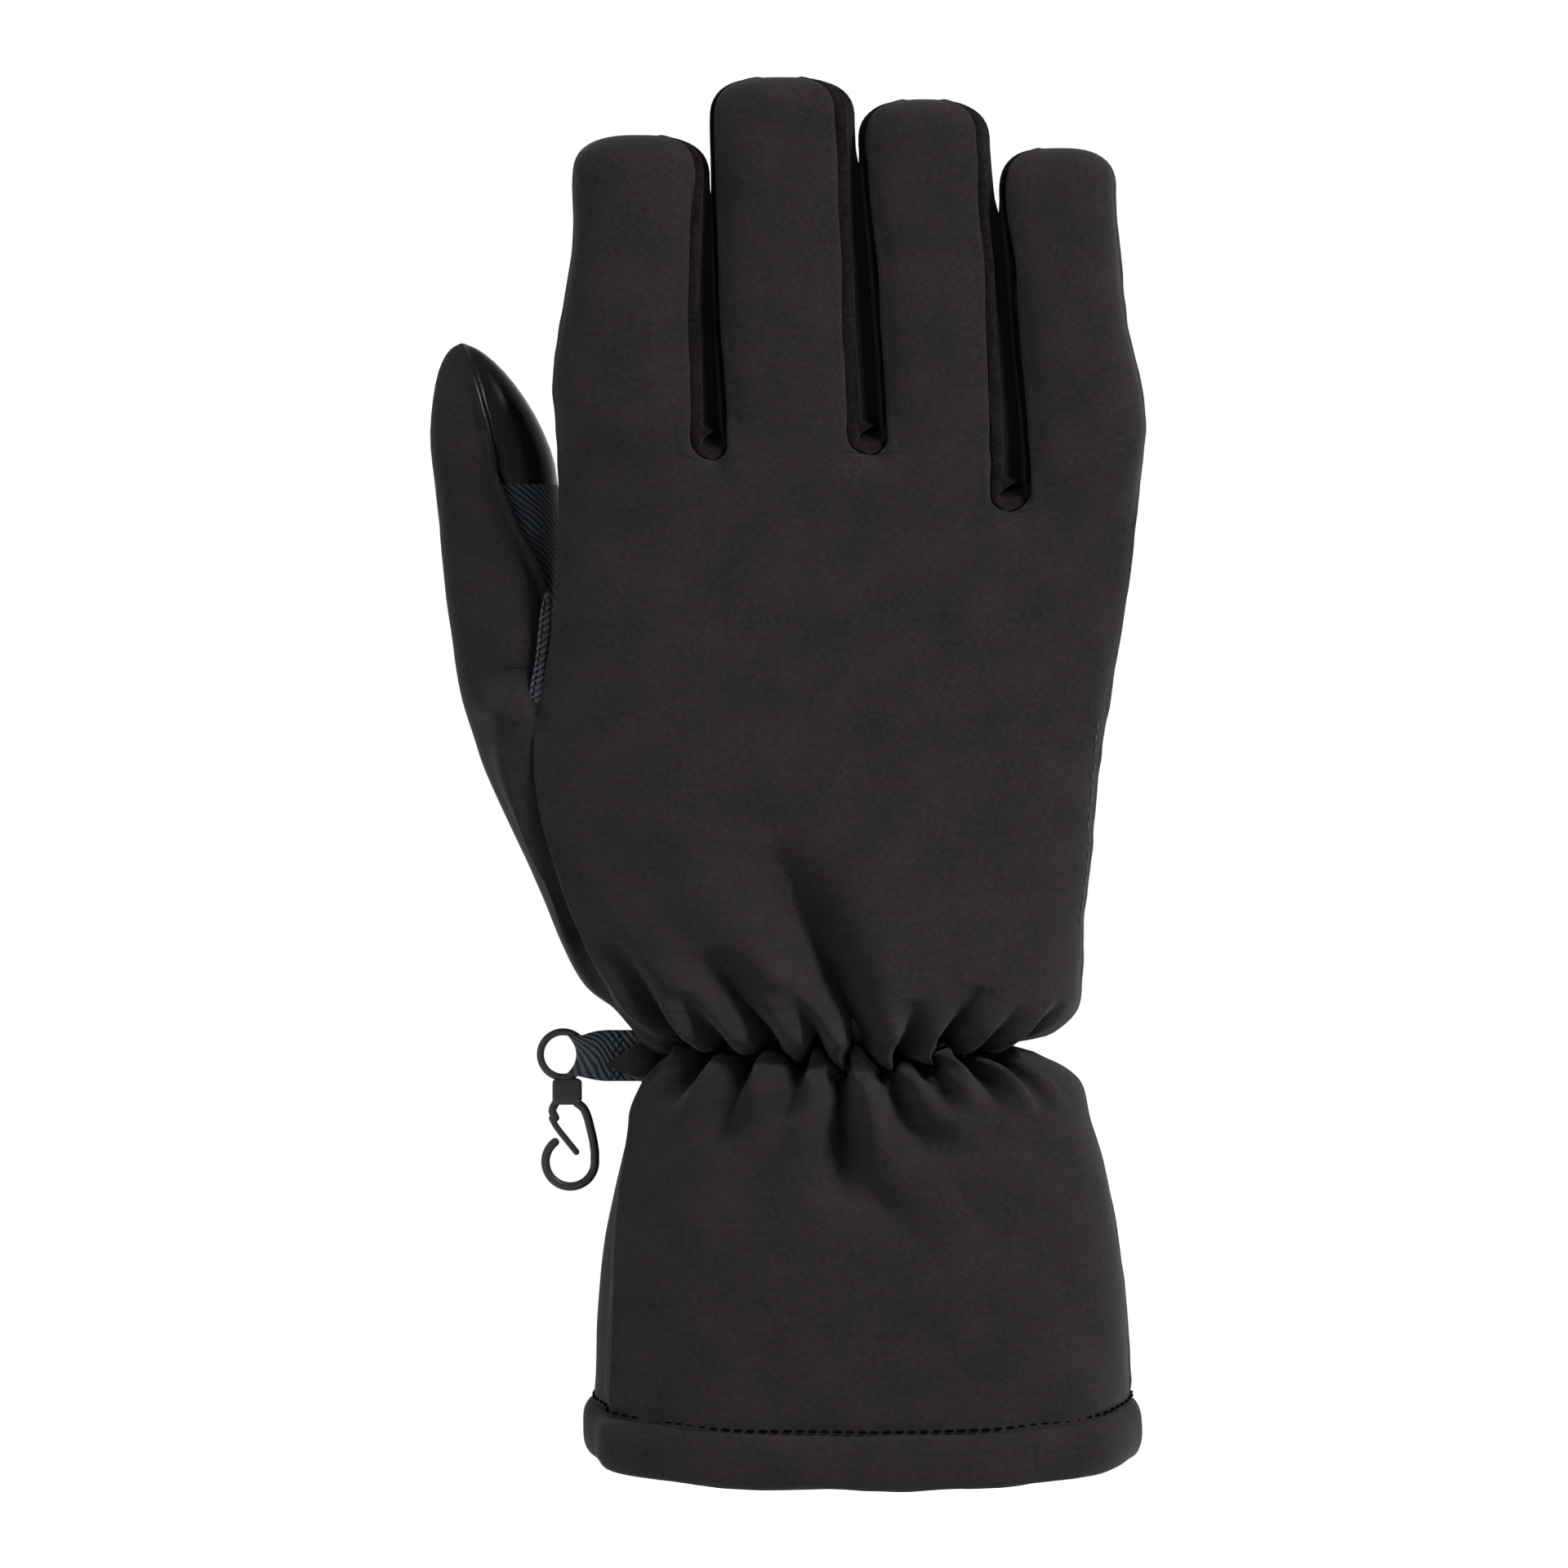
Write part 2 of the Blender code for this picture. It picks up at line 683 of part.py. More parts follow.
def cuff_lining():
    inset = SHELL + LAYER_GAP
    rows = []
    for share in steps(1, 0, 5):
        row = []
        for a, on_palm in ring_angles(12):
            end = cuff_heights(hand_point(a, CUFF_END, on_palm, inset))
            row.append(hand_point(a, mix(-GATHER_REACH - JOINT_GAP, end, share), on_palm, inset))
        rows.append(row)
    sheet("cuff_lining", [rows], fleece(), LINING, away_from(hand_axis), closed=True)


def hem_band():
    """The thick turned hem: a band with a round section that runs round the mouth of the cuff."""
    profile = [
        (0.5, 0.0), (1.0, -0.08), (1.0, -0.55), (0.82, -0.86), (0.45, -1.0), (0.08, -0.86), (0.0, -0.5), (0.0, -0.06),
    ]
    rows = []
    for across, down in profile:
        row = []
        for a, on_palm in ring_angles(15):
            inset = 3.4 - HEM_THICKNESS * across
            point = hand_point(a, CUFF_END, on_palm, inset)
            point.z = cuff_heights(hand_point(a, CUFF_END, on_palm)) - SEAM_GAP + HEM_HEIGHT * down
            row.append(point)
        rows.append(row)
    mesh = sheet_mesh("hem_band", [rows + [rows[0]]], closed=True)
    place("hem_band", mesh, softshell())


def care_label():
    """The blank label sewn flat inside the palm side of the cuff."""
    inset = SHELL + LINING + 2 * LAYER_GAP
    rows = [[hand_point(a, z, True, inset) for a in steps(96, 84, 3)] for z in steps(-66, -44, 2)]
    facing = away_from(hand_axis)
    sheet("care_label", [rows], material("label_cloth", (0.6, 0.6, 0.58), 0.8), 0.5, facing)


# ------------------------------------------------------------------------------- strap, hook and gate

EYE = Vector((-54.8, 0, -0.2))
EYE_RADIUS = 4.45
EYE_WIRE = 0.75
STRAP_ROOT = -44.2
STRAP_WIDTH = 10.0
STRAP_THICKNESS = 0.9
STRAP_PINCH = 4.2
HOOK_BEND = Vector((-53.4, 0, -21.2))
HOOK_RADIUS = 4.85
HOOK_WIRE = 0.9
NECK = (5.8, 2.0, 5.2)
NECK_CENTRE = Vector((-54.0, 0, -7.5))


def loft_tube(name, centres, radii, finish):
    """A round bar through these centres, as a curve object turned into a closed mesh."""
    curve = bpy.data.curves.new(name, "CURVE")
    curve.dimensions = "3D"
    curve.bevel_depth = MM
    curve.bevel_resolution = 2
    curve.use_fill_caps = True
    spline = curve.splines.new("POLY")
    spline.points.add(len(centres) - 1)
    for knot, centre, radius in zip(spline.points, centres, radii):
        knot.co = (*(centre * MM), 1)
        knot.radius = radius
    bar = bpy.data.objects.new(name + "_curve", curve)
    bpy.context.scene.collection.objects.link(bar)
    graph = bpy.context.evaluated_depsgraph_get()
    mesh = bpy.data.meshes.new_from_object(bar.evaluated_get(graph))
    bpy.data.objects.remove(bar)
    mesh.materials.clear()
    bm = bmesh.new()
    bm.from_mesh(mesh)
    bmesh.ops.remove_doubles(bm, verts=bm.verts, dist=0.00001)
    bmesh.ops.recalc_face_normals(bm, faces=bm.faces)
    bm.to_mesh(mesh)
    bm.free()
    mesh.name = name
    return place(name, mesh, finish)


def join(target, *others):
    """Boolean union of other solids into target; they go to the cutters' collection."""
    for other in others:
        union = target.modifiers.new("join_" + other.name, "BOOLEAN")
        union.operation = "UNION"
        union.object = other
        for home in list(other.users_collection):
            home.objects.unlink(other)
        bpy.data.collections["cutters"].objects.link(other)
        other.hide_render = True
        other.display_type = "WIRE"


def arc(centre, radius, first, last, count):
    """Points on a circle in the XZ plane; 0 degrees is +X and 90 is +Z."""
    return [
        centre + radius * Vector((math.cos(math.radians(a)), 0, math.sin(math.radians(a))))
        for a in steps(first, last, count)
    ]


def strap():
    """The webbing that is sewn into the side seam, runs out through the hook's eye and folds back on itself."""
    fold = EYE.x + EYE_RADIUS
    around = EYE_WIRE + STRAP_THICKNESS / 2 + 0.7
    path = [Vector((STRAP_ROOT, -0.6, 0)), Vector((-46.5, -0.75, 0)), Vector((fold + 2.2, -around, 0))]
    for degrees in steps(0, 180, 6):
        turn = math.radians(degrees)
        path.append(Vector((fold - around * math.sin(turn), -around * math.cos(turn), 0)))
    path += [Vector((fold + 2.2, around, 0)), Vector((-46.5, 0.75, 0)), Vector((STRAP_ROOT, 0.6, 0))]
    rows = []
    for point in path:
        narrow = ease(fold + 3.5, fold + 0.4, point.x) if point.x < fold + 3.5 else 0
        half = mix(STRAP_WIDTH / 2, STRAP_PINCH / 2, narrow)
        rows.append([Vector((point.x, point.y, z)) for z in (-half, 0, half)])

    def facing(point):
        return Vector((0, math.copysign(1, point.y), 0))

    sheet("strap", [rows], twill(), STRAP_THICKNESS / 2, facing)


def hook():
    """The moulded hook: an eye for the strap, a flat neck, and a bar that turns into an open bend."""
    wire = plastic()
    bpy.ops.mesh.primitive_torus_add(
        major_radius=EYE_RADIUS * MM, minor_radius=EYE_WIRE * MM, major_segments=36, minor_segments=10
    )
    ring = bpy.context.active_object
    mesh = ring.data
    mesh.transform(Matrix.Translation(EYE * MM) @ Matrix.Rotation(math.pi / 2, 4, "X"))
    bpy.data.objects.remove(ring)
    eye = place("hook", mesh, wire)
    bpy.ops.mesh.primitive_cube_add(size=1, location=NECK_CENTRE * MM)
    neck = bpy.context.active_object
    neck.name = "hook_neck_block"
    neck.data.transform(Matrix.Diagonal((*(Vector(NECK) * MM), 1)))
    shoulder = Vector((-54.2, 0, -13.0))
    bar_points = arc(shoulder, 3.3, 150, 10, 7)
    bar_points += [Vector((-49.6, 0, -16.5))] + arc(HOOK_BEND, HOOK_RADIUS, 4, -236, 22)
    bar = loft_tube("hook_bar", bar_points, [HOOK_WIRE] * len(bar_points), wire)
    join(eye, neck, bar)


def gate():
    """The springy tongue that closes the hook's mouth."""
    places = [(-57.0, -12.6), (-55.6, -14.6), (-53.8, -17.1), (-52.3, -19.2)]
    loft_tube("gate", [Vector((x, 0, z)) for x, z in places], [0.7, 0.66, 0.6, 0.5], plastic())


# ------------------------------------------------------------------------------------------- build


def thumb():
    """The thumb: a softshell back and a pad on its inner side, in two segments."""
    back = steps(63, 243, 8)
    pad = steps(-110, 53, 7)
    for panel, angles, finish in (("back", back, softshell()), ("pad", pad, twill())):
        rows = segment_rows(THUMB, angles, THUMB.knuckle, THUMB.middle_joint, 3)
        sheet(f"thumb_near_{panel}", [rows], finish, SHELL, away_from(THUMB.centre))
    foot = THUMB.tip - THUMB.round_tip
    rows = segment_rows(THUMB, pad, THUMB.middle_joint, foot - 0.2, 4)
    sheet("thumb_tip_pad", [rows], leather(), SHELL, away_from(THUMB.centre))
    strip = [[THUMB.point(a, z) for a in back] for z in steps(THUMB.middle_joint + JOINT_GAP / 2, foot, 4)]
    ring = back + [a + 360 for a in pad]
    make_tip_cap("thumb_tip_back", THUMB, strip, dome(THUMB, ring), softshell())
    digit_lining(THUMB, 68, inset=SHELL + 4 * LAYER_GAP)


def main():
    clear_scene()
    hand_back_panel()
    hand_palm_panel()
    palm_patch()
    back_padding()
    hand_lining()
    thumb_web()
    for name, left, right in (
        ("index_middle_web", *FINGERS[0:2]),
        ("middle_ring_web", *FINGERS[1:3]),
        ("ring_little_web", *FINGERS[2:4]),
    ):
        crotch_web(name, left, right, right.crotches[0])
    for digit in FINGERS:
        near_segment(digit)
        tip_segment(digit)
        digit_lining(digit, max(digit.crotches) + 2.5, inset=SHELL + LAYER_GAP)
    thumb()
    wrist_gather("wrist_gather_back", False, softshell())
    wrist_gather("wrist_gather_palm", True, softshell())
    wrist_elastic()
    cuff_panels()
    cuff_lining()
    hem_band()
    care_label()
    strap()
    hook()
    gate()


main()
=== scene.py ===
"""Looks of the ski glove: seamed softshell panels, gathered wrist, turned hem, webbing strap and hook."""

import math

import bmesh
import bpy
import numpy as np
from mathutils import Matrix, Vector


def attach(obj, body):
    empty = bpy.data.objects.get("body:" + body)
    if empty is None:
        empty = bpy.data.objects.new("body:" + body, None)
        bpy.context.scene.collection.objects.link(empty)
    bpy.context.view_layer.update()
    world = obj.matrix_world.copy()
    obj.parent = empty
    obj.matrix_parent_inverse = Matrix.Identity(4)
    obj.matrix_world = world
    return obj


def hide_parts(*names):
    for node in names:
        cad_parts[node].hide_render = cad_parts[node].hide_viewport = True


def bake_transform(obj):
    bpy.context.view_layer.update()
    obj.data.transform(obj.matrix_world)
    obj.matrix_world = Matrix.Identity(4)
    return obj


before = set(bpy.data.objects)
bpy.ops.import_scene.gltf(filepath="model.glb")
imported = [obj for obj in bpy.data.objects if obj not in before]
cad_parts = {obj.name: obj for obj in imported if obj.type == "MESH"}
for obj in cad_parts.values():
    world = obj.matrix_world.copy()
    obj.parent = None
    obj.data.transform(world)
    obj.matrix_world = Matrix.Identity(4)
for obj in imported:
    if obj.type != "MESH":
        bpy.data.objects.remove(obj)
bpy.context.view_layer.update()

MM = 0.001
# How square the sections of the hand, the fingers and their tips are: 2 is an ellipse.
HAND_N, DIGIT_N, TIP_N = 2.6, 2.9, 2.8
WRIST_TOP, WRIST_END = 16.0, -15.0
HEM_LINE = -73.0
CUFF_FOOT = -76.6
BODY_TOP = 104.0
THUMB_CROTCH = 65.6
# The lines between the fingers' strips, as shares of the way across, and the crotches' heights above them.
LINES = [0, 0.264, 0.535, 0.78, 1]
CROTCHES = [116.0, 116.0, 117.0, 106.0, 106.0]
SLOT_ROUND = 3.2


# ------------------------------------------------------------------------------------ numbers


def smooth(*points):
    """A smooth curve through (place, value) points, level past both ends."""
    xs, ys = np.array(points, float).T
    rise = np.diff(ys) / np.diff(xs)
    slopes = np.concatenate([[0], (rise[1:] + rise[:-1]) / 2, [0]]) if len(xs) > 2 else np.zeros(2)
    if len(xs) > 2:
        slopes[0], slopes[-1] = rise[0], rise[-1]

    def value(z):
        z = np.asarray(z, float)
        inside = np.clip(z, xs[0], xs[-1])
        i = np.clip(np.searchsorted(xs, inside, side="right") - 1, 0, len(xs) - 2)
        h = xs[i + 1] - xs[i]
        t = (inside - xs[i]) / h
        return (
            ys[i] * (1 + 2 * t) * (1 - t) ** 2
            + ys[i + 1] * t * t * (3 - 2 * t)
            + h * (slopes[i] * t * (1 - t) ** 2 - slopes[i + 1] * t * t * (1 - t))
        )

    return value


def ease(low, high, z):
    t = np.clip((z - low) / (high - low), 0, 1)
    return t * t * (3 - 2 * t)


def mix(a, b, t):
    return a + (b - a) * t


def power(value, exponent):
    return np.sign(value) * np.abs(value) ** exponent


def unit(vectors):
    return vectors / np.maximum(np.linalg.norm(vectors, axis=-1, keepdims=True), 1e-9)


def bump(distance, width):
    return np.exp(-((distance / width) ** 2))


def circle(count):
    return np.linspace(0, 2 * math.pi, count, endpoint=False)


def lattice(i, j, k, seed):
    n = (i * 374761393 + j * 668265263 + k * 2147483647 + seed * 974634777) & 0xFFFFFFFF
    n = ((n ^ (n >> 13)) * 1274126177) & 0xFFFFFFFF
    return ((n ^ (n >> 16)) & 0xFFFF) / 32767.5 - 1


def noise(points, scale, seed=0):
    """Smooth noise from -1 to 1, with features of about this size in millimetres."""
    p = np.asarray(points, float) / scale
    base = np.floor(p).astype(np.int64)
    f = p - base
    f = f * f * (3 - 2 * f)
    total = np.zeros(p.shape[:-1])
    for dx in (0, 1):
        for dy in (0, 1):
            for dz in (0, 1):
                weight = (
                    np.where(dx, f[..., 0], 1 - f[..., 0])
                    * np.where(dy, f[..., 1], 1 - f[..., 1])
                    * np.where(dz, f[..., 2], 1 - f[..., 2])
                )
                total += weight * lattice(base[..., 0] + dx, base[..., 1] + dy, base[..., 2] + dz, seed)
    return total


# ------------------------------------------------------------------------------------ outline

LEFT = smooth(
    (-76, -48.6), (-64, -48.3), (-48, -47.5), (-26, -44.8), (-13, -41.9), (-5.6, -40.3), (0, -38.6),
    (2.5, -40.2), (5.6, -42.9), (12.8, -49.9), (20.8, -54.7), (30.4, -58.7), (43.2, -64.6), (56, -70.7),
    (61.6, -72.6), (70.4, -75.2), (84.8, -77.4), (102.4, -79.5), (118, -81.0), (128, -81.0), (140, -79.0),
)
RIGHT = smooth(
    (-76, 56.6), (-62.4, 56.2), (-44.8, 54.9), (-25.6, 51.7), (-14.4, 48.5), (-5.5, 44.6), (-2.5, 41.8),
    (0, 38.9), (2.5, 40.4), (5.5, 42.4), (9.6, 44.6), (17.6, 46.6), (25.6, 46.8), (40, 48.5), (56, 50.1),
    (70.4, 52.2), (86.4, 54.9), (110.4, 57.8), (124.8, 58.9), (132.8, 57.8), (142.4, 55.7), (158.4, 54.1),
    (168.8, 53.2), (178, 52.8),
)
SEAM_X = smooth(
    (-76, -46.6), (-65.6, -46.3), (-49.6, -45.6), (-33.6, -45.0), (-16, -42.6), (-5, -39.6), (0, -37.6),
    (5, -40.6), (8, -43.0), (25.6, -52.8), (38.4, -57.4), (48.8, -60.1), (58, -60.9), (65.6, -60.2),
    (72, -58.6), (80, -57.3), (94.4, -55.7), (123.2, -55.8), (131.2, -56.6), (145.6, -54.7),
    (158.4, -52.8), (171.2, -52.6), (180, -52.2),
)
SEAM_Y = smooth(
    (-76, -14), (-45, -14), (-16, -12), (0, -9), (8, -10), (26, -9), (49, -7), (60, -4), (66, -1.6),
    (76, 0), (200, 0.001),
)
PALM_X = smooth(
    (-76, -40), (-16, -34), (0, -30), (12, -36), (30, -45), (45, -50.5), (55, -54.5), (62, -58.3),
    (65.6, -60.2), (72, -58.6), (80, -57.3), (94.4, -55.7), (123.2, -55.8), (131.2, -56.6),
    (145.6, -54.7), (158.4, -52.8), (180, -52.2),
)
PALM_Y = smooth(
    (-76, 22), (-16, 20), (0, 16), (12, 17.5), (30, 17.5), (45, 14), (55, 9), (62, 3), (65.6, -1.6),
    (76, 0), (200, 0.001),
)
BACK = smooth(
    (-76, 29), (-40, 29), (-20, 26.5), (-8, 24.5), (0, 21.5), (8, 23.5), (16, 23.5), (30, 21), (60, 17),
    (90, 13.6), (108, 12.0), (116, 11.6), (130, 11.2), (200, 11),
)
PALM = smooth(
    (-76, 30), (-40, 30), (-20, 27), (-8, 25), (0, 22), (8, 23.5), (16, 24), (30, 22), (60, 18.5), (90, 15),
    (108, 12.4), (116, 11.8), (130, 11.2), (200, 11)
)
# Edges of the back panels at the three slots between the fingers, above their round ends.
SLOT_LEFT = [
    smooth((116, -29.2), (126, -29.2), (149, -29.4), (165, -28.9), (177, -27.4)),
    smooth((117, 1.5), (126, 1.4), (149, 0.7), (165, 0.0), (180, -0.9), (187, -1.5)),
    smooth((106, 29.2), (115, 29.3), (126, 29.5), (139, 29.1), (155, 28.2), (171.5, 26.9), (182, 26.2)),
]
SLOT_RIGHT = [
    smooth((116, -23.1), (126, -23.2), (149, -24.4), (165, -25.0), (180, -25.6), (190, -25.6)),
    smooth((117, 8.1), (126, 8.0), (149, 6.8), (165, 5.3), (180, 3.6), (187, 3.3)),
    smooth((106, 36.1), (115, 36.1), (126, 35.6), (139, 34.5), (155, 33.1), (171.5, 31.2), (178, 31.0)),
]


def outline_middle(z):
    """The middle of the outline at height z, and its half width."""
    return (LEFT(z) + RIGHT(z)) / 2, (RIGHT(z) - LEFT(z)) / 2


class Digit:
    """A finger or the thumb: its edges, depth and middle by height, and the heights of its parts."""

    def __init__(self, name, left, right, depth, tip, foot, line, y=None):
        self.name, self.left, self.right, self.depth = name, left, right, depth
        self.tip, self.foot, self.line = tip, foot, line
        self.y = y or smooth((0, 0), (200, 0))

    def centre(self, z):
        return (self.left(z) + self.right(z)) / 2

    def half(self, z):
        return (self.right(z) - self.left(z)) / 2

    def ring(self, degrees, z):
        """Points of the section: 0 degrees is at +X, 90 on the back, 270 on the palm side."""
        angle = np.radians(degrees)
        x = self.centre(z) + self.half(z) * power(np.cos(angle), 2 / DIGIT_N)
        y = self.y(z) - self.depth(z) * power(np.sin(angle), 2 / DIGIT_N)
        return np.stack(np.broadcast_arrays(x, y, z), -1)

    def angle_of(self, x, z, least=-1, most=1):
        """The angle of the place on the back with this x, kept between two shares of the half width."""
        c = np.clip((x - self.centre(z)) / self.half(z), least, most)
        return np.degrees(np.arccos(power(c, DIGIT_N / 2)))

    def dome(self, degrees, turn, boxy=TIP_N):
        """Points of the rounded tip, turn degrees of the way from its foot to its top."""
        angle, turn = np.broadcast_arrays(np.radians(degrees), np.radians(turn))
        shrink, rise = np.maximum(np.cos(turn), 0) ** (2 / boxy), np.sin(turn) ** (2 / boxy)
        z = self.foot
        x = self.centre(z) + self.half(z) * power(np.cos(angle), 2 / DIGIT_N) * shrink
        y = self.y(z) - self.depth(z) * power(np.sin(angle), 2 / DIGIT_N) * shrink
        return np.stack([x, y, z + rise * (self.tip - z)], -1)


FINGERS = [
    Digit("index", SEAM_X, smooth((110, -24.7), (126, -24.7), (149, -25.6), (165, -26.0), (180, -26.4)),
          smooth((110, 11.6), (130, 11.2), (160, 10.8), (180, 10.2)), 179.8, 171.0, 139.5),
    Digit("middle",
          smooth((110, -24.2), (126, -24.2), (149, -25.2), (165, -25.7), (180, -26.1), (191, -26.2)),
          smooth((110, 6.5), (126, 6.4), (149, 5.2), (165, 3.8), (180, 2.5), (191, 2.1)),
          smooth((110, 11.6), (130, 11.2), (170, 10.8), (191, 10.2)), 191.2, 182.5, 142.0),
    Digit("ring", smooth((110, 7.0), (126, 6.9), (149, 5.7), (165, 4.3), (180, 2.9), (187, 2.6)),
          smooth((100, 34.5), (115, 34.5), (126, 34.0), (139, 32.9), (155, 31.5), (171.5, 29.6), (187, 28.6)),
          smooth((110, 11.6), (130, 11.2), (165, 10.8), (187, 10.2)), 186.8, 178.0, 141.5),
    Digit("little",
          smooth((100, 35.0), (115, 35.0), (126, 34.5), (139, 33.4), (155, 32.0), (171.5, 30.1), (178, 29.8)),
          RIGHT,
          smooth((100, 11.4), (120, 11.0), (155, 10.4), (178, 9.8)), 177.3, 168.5, 129.5),
]
THUMB_HALF = smooth(
    (8, 8), (40, 10), (65, 9.3), (75, 9.8), (100, 12.2), (112, 12.2), (122, 11.6), (132, 10.2), (140, 8.5)
)
THUMB = Digit(
    "thumb", LEFT, lambda z: LEFT(z) + 2 * THUMB_HALF(z),
    smooth((8, 20), (30, 17), (45, 15), (58, 12.6), (66, 11.6), (100, 11.6), (120, 10.6), (134, 9)),
    139.8, 114.0, 90.0,
    y=smooth((8, 1), (30, 5), (45, 9), (58, 13.5), (66, 16), (75, 17.5), (100, 19.5), (140, 20)),
)


def section(side, z):
    """Centre, half width and depth of the hand's or cuff's section: side 0 is the back, 1 the palm."""
    edge_x, edge_y, depth = (SEAM_X(z), SEAM_Y(z), BACK(z)) if side == 0 else (PALM_X(z), PALM_Y(z), PALM(z))
    share = np.clip(np.abs(edge_y) / depth, 0, 0.97)
    if side == 1:
        share = np.where(edge_y < 0, 0, share)
    start = (1 - share**HAND_N) ** (1 / HAND_N)
    half = (RIGHT(z) - edge_x) / (1 + start)
    return RIGHT(z) - half, half, depth


def section_point(side, phi, z):
    """A point of the hand's or cuff's section, at an angle from +X over the back or over the palm."""
    centre, half, depth = section(side, z)
    angle = np.radians(phi)
    x = centre + half * power(np.cos(angle), 2 / HAND_N)
    y = depth * np.abs(np.sin(angle)) ** (2 / HAND_N) * (1 if side else -1)
    return np.stack(np.broadcast_arrays(x, y, z), -1)


def phi_of(side, x, z):
    centre, half, _ = section(side, z)
    c = np.clip((x - centre) / half, -1, 1)
    return np.degrees(np.arccos(power(c, HAND_N / 2)))


def panel_edge(number, z, on_left):
    """x of a finger strip's edge: a line down the hand, then the round end and the side of the slot."""
    left, right = SEAM_X(z), RIGHT(z)
    line = number - 1 if on_left else number
    if line == 0:
        return left
    if line == 4:
        return right
    crotch = CROTCHES[line]
    below = mix(left, right, LINES[line])
    wander = 0.35 * noise(np.stack([z, 0 * z + line * 7 + on_left, 0 * z], -1), 11, 80)
    side_line = (SLOT_RIGHT if on_left else SLOT_LEFT)[line - 1]

    def side(height):
        return side_line(height) + wander * ease(crotch + SLOT_ROUND, crotch + 12, np.asarray(height, float))

    foot = crotch + SLOT_ROUND
    middle = mix(SEAM_X(crotch), RIGHT(crotch), LINES[line])
    reach = side(foot) - middle
    up = np.clip(z - crotch, 0, SLOT_ROUND)
    round_end = middle + reach * np.sqrt(np.clip(1 - (1 - up / SLOT_ROUND) ** 2, 0, 1))
    return np.where(z <= crotch, below, np.where(z < foot, round_end, side(z)))


def finger_angles(number, z):
    """Section angles of the left and right edges of a finger's back panel."""
    digit = FINGERS[number - 1]
    left = 180.0 + 0 * z if number == 1 else digit.angle_of(panel_edge(number, z, True), z)
    right = 0 * z if number == 4 else digit.angle_of(panel_edge(number, z, False), z)
    return left, right


def across_angle(number, x, z):
    """Section angle of a finger at this x. Towards a slot it stops short of the finger's side."""
    least, most = -1 if number == 1 else -0.95, 1 if number == 4 else 0.95
    return FINGERS[number - 1].angle_of(x, z, least, most)


def strip_grid(number, side, heights, columns):
    """Rows of points of one finger's strip, from its left edge to its right edge, from the hem up."""
    digit = FINGERS[number - 1]
    u = shares(columns)[None, :]
    z = heights[:, None]
    x_left, x_right = (panel_edge(number, heights, on_left)[:, None] for on_left in (True, False))
    if side == 1 and number == 1:
        x_left = PALM_X(heights)[:, None]
    phi = mix(phi_of(side, x_left, z), phi_of(side, x_right, z), u)
    if number == 1:
        start = np.where(heights[:, None] > THUMB_CROTCH, 180.0, phi_of(side, x_left, z))
        phi = mix(start, phi_of(side, x_right, z), u)
    flat = section_point(side, phi, z + 0 * u)
    angle = across_angle(number, flat[..., 0], flat[..., 2])
    turned = digit.ring(angle if side == 0 else 360 - angle, z + 0 * u)
    turned[..., 0] = flat[..., 0]
    crotch = mix(CROTCHES[number - 1], CROTCHES[number], u)
    share = ease(crotch - 5, crotch + 9, z)[..., None]
    return mix(flat, turned, share)


def dome_grid(number, side, turns, columns):
    """Rows of points of one finger's rounded tip, above its strip."""
    digit = FINGERS[number - 1]
    last = strip_grid(number, side, np.array([digit.foot]), columns)
    angle = across_angle(number, last[..., 0], last[..., 2])
    return digit.dome(angle if side == 0 else 360 - angle, turns[:, None])


def shares(count, pull=0.72):
    """From 0 to 1, closer together towards both ends, where the seams are."""
    t = np.linspace(0, 1, count)
    return t - pull * np.sin(2 * math.pi * t) / (2 * math.pi)


def spaced(low, high, step):
    return np.linspace(low, high, max(2, int(round((high - low) / step)) + 1))


def joined(*runs):
    return np.concatenate([runs[0]] + [run[1:] for run in runs[1:]])


# Heights of the rows of points. They lie closest in the gathered wrist and at the thumb's crotch.
THUMB_ROOT_ROWS = spaced(57.6, 73.6, 0.8)
BODY_ROWS = joined(
    spaced(CUFF_FOOT, -30, 1.8), spaced(-30, WRIST_END, 1.0), spaced(WRIST_END, WRIST_TOP, 0.62),
    spaced(WRIST_TOP, 40, 1.0), spaced(40, 57.6, 1.6), THUMB_ROOT_ROWS, spaced(73.6, BODY_TOP, 1.6),
)
# Numbers of the rows where the cuff's cloth and the wrist's end.
CUFF_ROW = int((BODY_ROWS <= WRIST_END + 1e-6).sum()) - 1
WRIST_ROW = int((BODY_ROWS <= WRIST_TOP + 1e-6).sum()) - 1
# Degrees of the way over a rounded tip.
TURNS = np.array([6, 14, 22, 30, 38, 46, 54, 61, 68, 74, 79, 83.5, 87, 90.0])


def finger_rows(digit):
    """Heights above the hand: up to the finger's line, and from there to the foot of its tip."""
    top = max(CROTCHES[FINGERS.index(digit)], CROTCHES[FINGERS.index(digit) + 1]) + 11
    low = joined(spaced(BODY_TOP, top, 0.5), spaced(top, digit.line, 1.2))
    return low, spaced(digit.line, digit.foot, 1.3)


# --------------------------------------------------------------------------- gathers and wrinkles

# The crease round the wrist goes up and down: its high and low places on the back.
PEAKS = [
    (-32.6, 3.5), (-24.3, 2.4), (-15.0, 3.0), (-5.3, 3.5), (3.2, 3.8), (11.8, 0.8), (20.5, 3.5),
    (27.8, 0.8), (34.6, 2.2),
]
LOWS = [
    (-36.3, -0.8), (-27.7, -1.4), (-20.3, -2.0), (-9.4, -3.2), (-1.6, -4.3), (7.7, -4.3), (16.3, -3.7),
    (25.0, -1.4), (31.6, -1.2),
]
